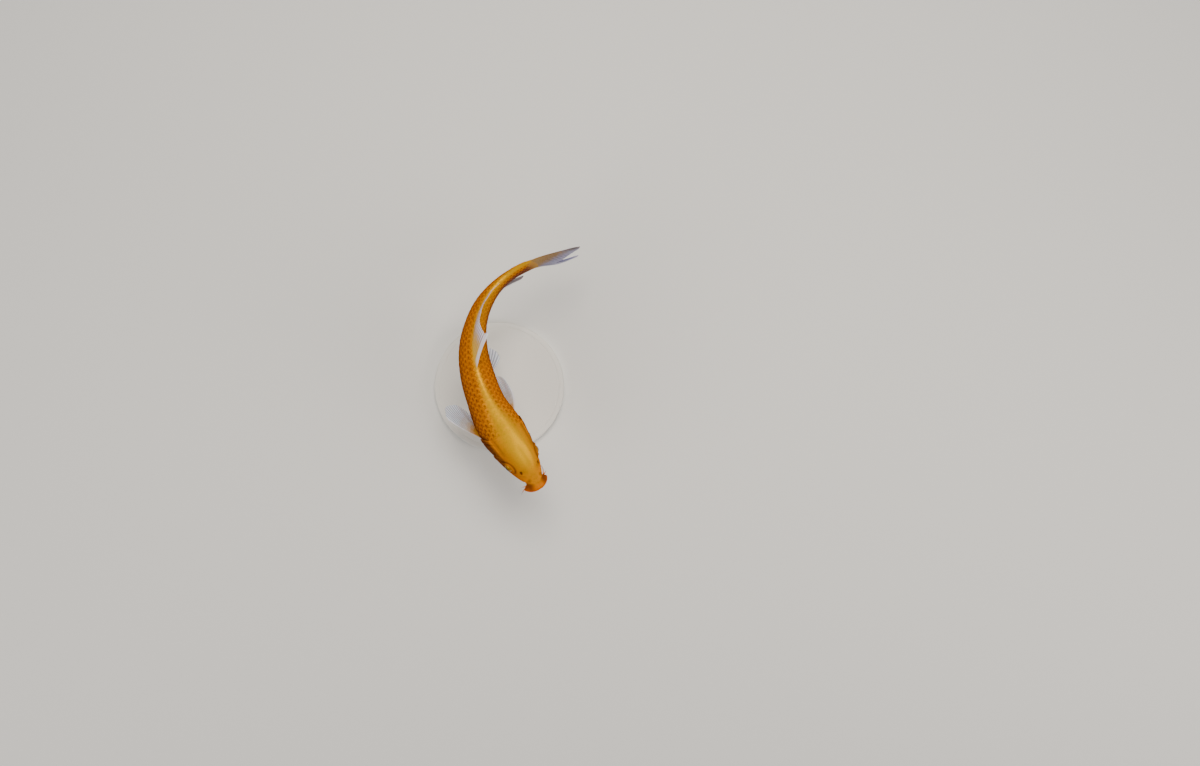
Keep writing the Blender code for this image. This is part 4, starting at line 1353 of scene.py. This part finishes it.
# %% [markdown]
# ### Scales
# A scale is a plate of bone as thin as paper that grows in rings, as a tree does, with pigment in
# the skin over it. Each has its own map, so that the dark spot, the painted shadow at its root,
# the painted highlight on its rear rim and the rings lie at the same place on every one. A stored
# brightness keeps neighbours from looking alike.

# %% Scales: thin bony plates, each with its own growth rings
scale_finish, tree = new_finish("golden_scales", Specular_IOR_Level=0.0, Specular_Tint=SHEEN)
own = add(tree, "UVMap", uv_map="OwnPlace")
back = add(tree, "SeparateXYZ", (own,))
across = back.node.outputs[1]
place = add(tree, "TexCoord", out="Object")
wobble, sheen = (
    add(tree, "TexNoise", {"Vector": place, "Scale": 1 / size}, **FACTOR)
    for size in (1.2 * MM, 2.5 * MM)
)
wobble = add(tree, "MapRange", (wobble, 0, 1, -0.045, 0.045))
spotted, tone = (
    add(tree, "Attribute", attribute_name=name, **FACTOR) for name in ("spotted", "tone")
)

# A dark spot round the middle of the part that shows.
near = {"Vector": own, "Location": (-0.682, -0.75, 0), "Scale": (1.1, 1.5, 1)}
far = add(tree, "VectorMath", (add(tree, "Mapping", near),), out="Value", operation="LENGTH")
far = add(tree, "Math", (far, wobble), **PLUS)
spot = add(tree, "MapRange", (far, 0.25, 0.04), **S_CURVE)

# A painted shadow also darkens the scale where it comes out from under the scales in front of it.
inner = add(tree, "Math", (across, 0.5), operation="PINGPONG")
emerging = add(tree, "MapRange", (inner, 0.45, 0.05, 0.40, 0.70), **S_CURVE)
ahead = add(tree, "Math", (back, emerging), **MINUS)
ahead = add(tree, "Math", (ahead, wobble), **PLUS)
shadow = add(tree, "MapRange", (ahead, 0.15, 0.01, 0.0, 0.62), **S_CURVE)
# The spot and the painted shadow take the same dark colour.
spot = add(tree, "Math", (spot, shadow), operation="MAXIMUM")
spot = add(tree, "Math", (spot, spotted), **TIMES)
# A painted highlight along the rear rim, over its paler edge.
rim = add(tree, "MapRange", (back, 0.74, 0.96, 0.0, 0.32), **S_CURVE)
colour = coats(tree, koi_colour(tree), (spot, SPOT_AND_SHADOW), (rim, RIM_HIGHLIGHT))

# Growth rings are too fine to show, so they are drawn as coarse as about 1 mm apart.
centred = add(tree, "Mapping", {"Vector": own, "Location": (0, -0.75, 0), "Scale": (1, 1.5, 1)})
growth = add(tree, "VectorMath", (centred,), out="Value", operation="LENGTH")
growth = add(tree, "Math", (growth, 60.0), **TIMES)
growth = add(tree, "Math", (growth,), operation="SINE")
shade(
    tree,
    Base_Color=add(tree, "HueSaturation", {"Color": colour, "Value": tone}),
    Metallic=crystals(tree),
    Roughness=add(tree, "MapRange", (sheen, 0.3, 0.7, 0.34, 0.44), **S_CURVE),
    Normal=add(tree, "Bump", {"Height": growth, "Strength": 0.03, "Distance": 0.0001}),
)
print(scale_finish.name)

# %% [markdown]
# ### Eyes
# The eye's rings are laid by distance from the pupil's middle: black, one bright line, then gold
# with fine darker streaks. A thin clear coat stands for the wet cornea, and gives one sharp glint.

# %% Eyes: black pupil, gold iris, wet cornea
# Distance from the pupil's middle to the ball's equator, and the colour there.
IRIS = (
    (0.00, "#020202"), (0.375, "#050302"), (0.395, "#E0AA20"), (0.43, "#9A640C"),
    (0.52, "#7E4E0E"), (0.62, "#AE7A10"), (0.74, "#D09C18"), (0.88, "#9A6008"), (1.0, "#6A3A06"),
)
eye_finish, tree = new_finish(
    "wet_eye", Roughness=0.3, Specular_IOR_Level=0.05, Coat_Weight=0.12, Coat_Roughness=0.03
)
place = add(tree, "TexCoord", out="Object")
streak = {"Vector": place, "Scale": 1 / (0.35 * MM), "Detail": 3.0}
streak = add(tree, "TexNoise", streak, **FACTOR)
streak = add(tree, "MapRange", (streak, 0, 1, -0.025, 0.025))
from_pole = add(tree, "Attribute", attribute_name="from_pole", **FACTOR)
reach = add(tree, "Math", (from_pole, streak), **PLUS)
iris = add(tree, "ValToRGB", (reach,))
stops = iris.node.color_ramp.elements
while len(stops) < len(IRIS):
    stops.new(0.5)
for stop, (place, code) in zip(stops, IRIS):
    stop.position, stop.color = place, srgb(code)
gold = add(tree, "MapRange", (reach, 0.38, 0.41, 0.0, 0.5), **S_CURVE)
shade(tree, Base_Color=iris, Metallic=gold)
print(eye_finish.name)

# %% [markdown]
# ### Fins
# The membrane is partly clear, so what lies behind shows through it, and the bony rays are paler
# and denser. Some colour of the body runs out along them. One function makes all four finishes,
# because they differ only in their colours and in how far those run.

# %% Fins: clear membrane over pale rays
# The tip colour is painted shade on the tail's upper lobe.
STAIN, TIP_SHADE, LEAF_WHITE = srgb("#E0AC00"), srgb("#54432E"), srgb("#F0EEF8")


def fin_finish(name, web, rays, root, turns=(0.15, 0.75)):
    """Colours of web and rays near and far from the body, the root's, and where near turns far."""
    made, tree = new_finish(
        name, Roughness=0.36, Specular_IOR_Level=0.35, Subsurface_Weight=0.1,
        Subsurface_Scale=0.001,
    )
    ray, out, reach, cover, stained, tip_shade, white_leaf = (
        add(tree, "Attribute", attribute_name=key, **FACTOR)
        for key in ("ray", "out", "reach", "cover", "stained", "tip_shade", "white_leaf")
    )
    place = add(tree, "TexCoord", out="Object")
    drift = add(tree, "TexNoise", {"Vector": place, "Scale": 1 / (4 * MM)}, **FACTOR)
    drift = add(tree, "MapRange", (drift, 0, 1, -0.175, 0.175))
    grown, rooted = (add(tree, "Math", (a, drift), **PLUS) for a in (reach, out))
    turned_far = add(tree, "MapRange", (grown, *turns), **S_CURVE)
    between, bone = (coats(tree, srgb(a), (turned_far, srgb(b))) for a, b in (web, rays))
    bony = add(tree, "MapRange", (ray, 0.04, 0.36), **S_CURVE)
    rooted = add(tree, "MapRange", (rooted, 0.42, 0.08), **S_CURVE)
    golden = add(tree, "MapRange", (grown, 0.85, 0.40), **S_CURVE)
    golden = add(tree, "Math", (golden, stained), **TIMES)
    colour = coats(
        tree, between, (bony, bone), (rooted, srgb(root)), (golden, STAIN),
        (tip_shade, TIP_SHADE), (white_leaf, LEAF_WHITE),
    )

    # The rays are jointed, as a bamboo cane is.
    joints = add(tree, "Math", (add(tree, "Math", (out, 210.0), **TIMES),), operation="SINE")
    on_ray = add(tree, "MapRange", (ray, 0.4, 0.8), **S_CURVE)
    joints = add(tree, "Math", (joints, on_ray), **TIMES)
    bumps = add(tree, "Bump", {"Height": joints, "Strength": 0.12, "Distance": 0.0001})
    shade(tree, Base_Color=colour, Alpha=cover, Normal=bumps)
    return made


dorsal_finish = fin_finish(
    "dorsal_membrane", ("#B07A50", "#B494A0"), ("#D8D2E0", "#EAE6F2"), "#CC9408"
)
paired_finish = fin_finish(
    "paired_fin_membrane", ("#A88A58", "#AEB6C8"), ("#DCD6CC", "#E6EAF4"), "#C88A08"
)
# The anal fin lies in the shade under the bent stalk, so its colours are painted shade with a
# painted bluish reflection.
shaded_anal_finish = fin_finish(
    "shaded_anal_membrane", ("#4C3230", "#554654"), ("#6A5052", "#7C6A78"), "#8A5220"
)
tail_finish = fin_finish(
    "tail_membrane", ("#765424", "#6A729E"), ("#B48630", "#A6A2C8"), "#AE843A", (0.22, 0.60)
)
print("fin finishes ready")

# %% [markdown]
# ### Stand
# Satin paint from a roller keeps a faint texture, here 1.6 mm across, and shines softly. Steel
# polished on a lathe has fine scratches round it, drawn about 0.3 mm apart so that they show.

# %% Stand: satin paint and brushed steel
paint_finish, tree = new_finish(
    "satin_painted_wood", Base_Color=srgb("#E9E6DF"), Coat_Weight=0.15, Coat_Roughness=0.3
)
place = add(tree, "TexCoord", out="Object")
film = add(tree, "TexNoise", {"Vector": place, "Scale": 1 / (1.6 * MM)}, **FACTOR)
shade(
    tree,
    Roughness=add(tree, "MapRange", (film, 0.3, 0.7, 0.42, 0.52), **S_CURVE),
    Normal=add(tree, "Bump", {"Height": film, "Strength": 0.08, "Distance": 0.0002}),
)

steel_finish, tree = new_finish(
    "brushed_steel", Base_Color=srgb("#C4C5C7"), Metallic=1.0, Roughness=0.28
)
place = add(tree, "TexCoord", out="Object")
drawn = add(tree, "Mapping", {"Vector": place, "Scale": (1.0, 1.0, 60.0)})
grain = add(tree, "TexNoise", {"Vector": drawn, "Scale": 60.0}, **FACTOR)
shade(tree, Normal=add(tree, "Bump", {"Height": grain, "Strength": 0.10, "Distance": 0.0001}))
print(paint_finish.name, steel_finish.name)

# %% [markdown]
# ## Handing over the pieces
# Each visible piece gets one finish and rides on the only body, and the solid pieces it stands for
# are hidden. The skin stands for everything fleshy, and the scales lie on top of it.

# %% Every piece gets its finish and its body, and the solid pieces it stands for are hidden
FLESH = ["head", "upper_lip", "lower_lip", "gill_cover_left", "gill_cover_right"]
FLESH += ["barbel_snout_left", "barbel_snout_right", "barbel_corner_left", "barbel_corner_right"]
FLESH += ["trunk_front", "trunk_middle", "trunk_rear", "tail_stalk"]
PIECES = (
    (skin, skin_finish, "head_skin", FLESH),
    (scales, scale_finish, "body_scales", []),
    (eyes[0], eye_finish, "eye", ["eye_left"]),
    (eyes[1], eye_finish, "eye", ["eye_right"]),
    (dorsal, dorsal_finish, "fin_membrane", ["dorsal_fin"]),
    (anal, shaded_anal_finish, "fin_membrane", ["anal_fin"]),
    (tail, tail_finish, "tail_membrane", ["tail_fin_upper", "tail_fin_lower"]),
    (paired[0], paired_finish, "fin_membrane", ["pectoral_fin_left"]),
    (paired[1], paired_finish, "fin_membrane", ["pectoral_fin_right"]),
    (paired[2], paired_finish, "fin_membrane", ["pelvic_fin_left"]),
    (paired[3], paired_finish, "fin_membrane", ["pelvic_fin_right"]),
    (base, paint_finish, "stand_base", ["stand_base"]),
    (rods[0], steel_finish, "stand_rod", ["stand_rod_front"]),
    (rods[1], steel_finish, "stand_rod", ["stand_rod_rear"]),
)
for piece, finish, slot, nodes in PIECES:
    piece.data.materials.clear()
    piece.data.materials.append(finish)
    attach(piece, "root")
    if nodes:
        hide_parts(*nodes)
print(len(PIECES), "pieces,", sum(len(p[0].data.polygons) for p in PIECES), "faces")

# %% [markdown]
# ## Floor, light and camera
# A plain pale floor and three soft boxes: a large one high over the tail, which lights the back as
# daylight does, a weaker one from the left, and a dim one from the right for the edges. The
# camera looks straight down.

# %% Studio
bpy.ops.object.select_all(action="DESELECT")
bpy.ops.mesh.primitive_plane_add(size=16, location=(0, 0, 0))
floor = bpy.context.object
floor.name = "floor"
floor_finish = new_finish("pale_floor", Base_Color=srgb("#EBEAE7"), Roughness=0.8)[0]
floor.data.materials.append(floor_finish)

world = bpy.data.worlds.new("studio")
world.use_nodes = True
world.node_tree.nodes["Background"].inputs[0].default_value = srgb("#E6EAF0")
world.node_tree.nodes["Background"].inputs[1].default_value = 0.25
bpy.context.scene.world = world


def soft_box(name, place, target, size, power, colour="#FFFFFF"):
    lamp = bpy.data.lights.new(name, "AREA")
    lamp.shape = "RECTANGLE"
    lamp.size, lamp.size_y = size
    lamp.energy = power
    lamp.color = srgb(colour)[:3]
    obj = bpy.data.objects.new(name, lamp)
    obj.location = place
    obj.rotation_euler = (Vector(target) - Vector(place)).to_track_quat("-Z", "Y").to_euler()
    bpy.context.scene.collection.objects.link(obj)


soft_box("key", (0.2, 0.5, 1.45), (0, 0, 0.08), (0.9, 0.6), 19, "#FFF8EC")
soft_box("fill", (-0.9, -0.5, 0.9), (0, 0, 0.08), (0.9, 0.9), 6, "#FFF8F0")
soft_box("edge", (1.0, -0.3, 0.8), (0, 0, 0.08), (0.6, 0.9), 5, "#FFF8F0")

lens = bpy.data.cameras.new("camera")
lens.lens, lens.sensor_width = 40, 36
camera = bpy.data.objects.new("camera", lens)
camera.location = (0.10128, 0.003625, 1.35)
bpy.context.scene.collection.objects.link(camera)
bpy.context.scene.camera = camera
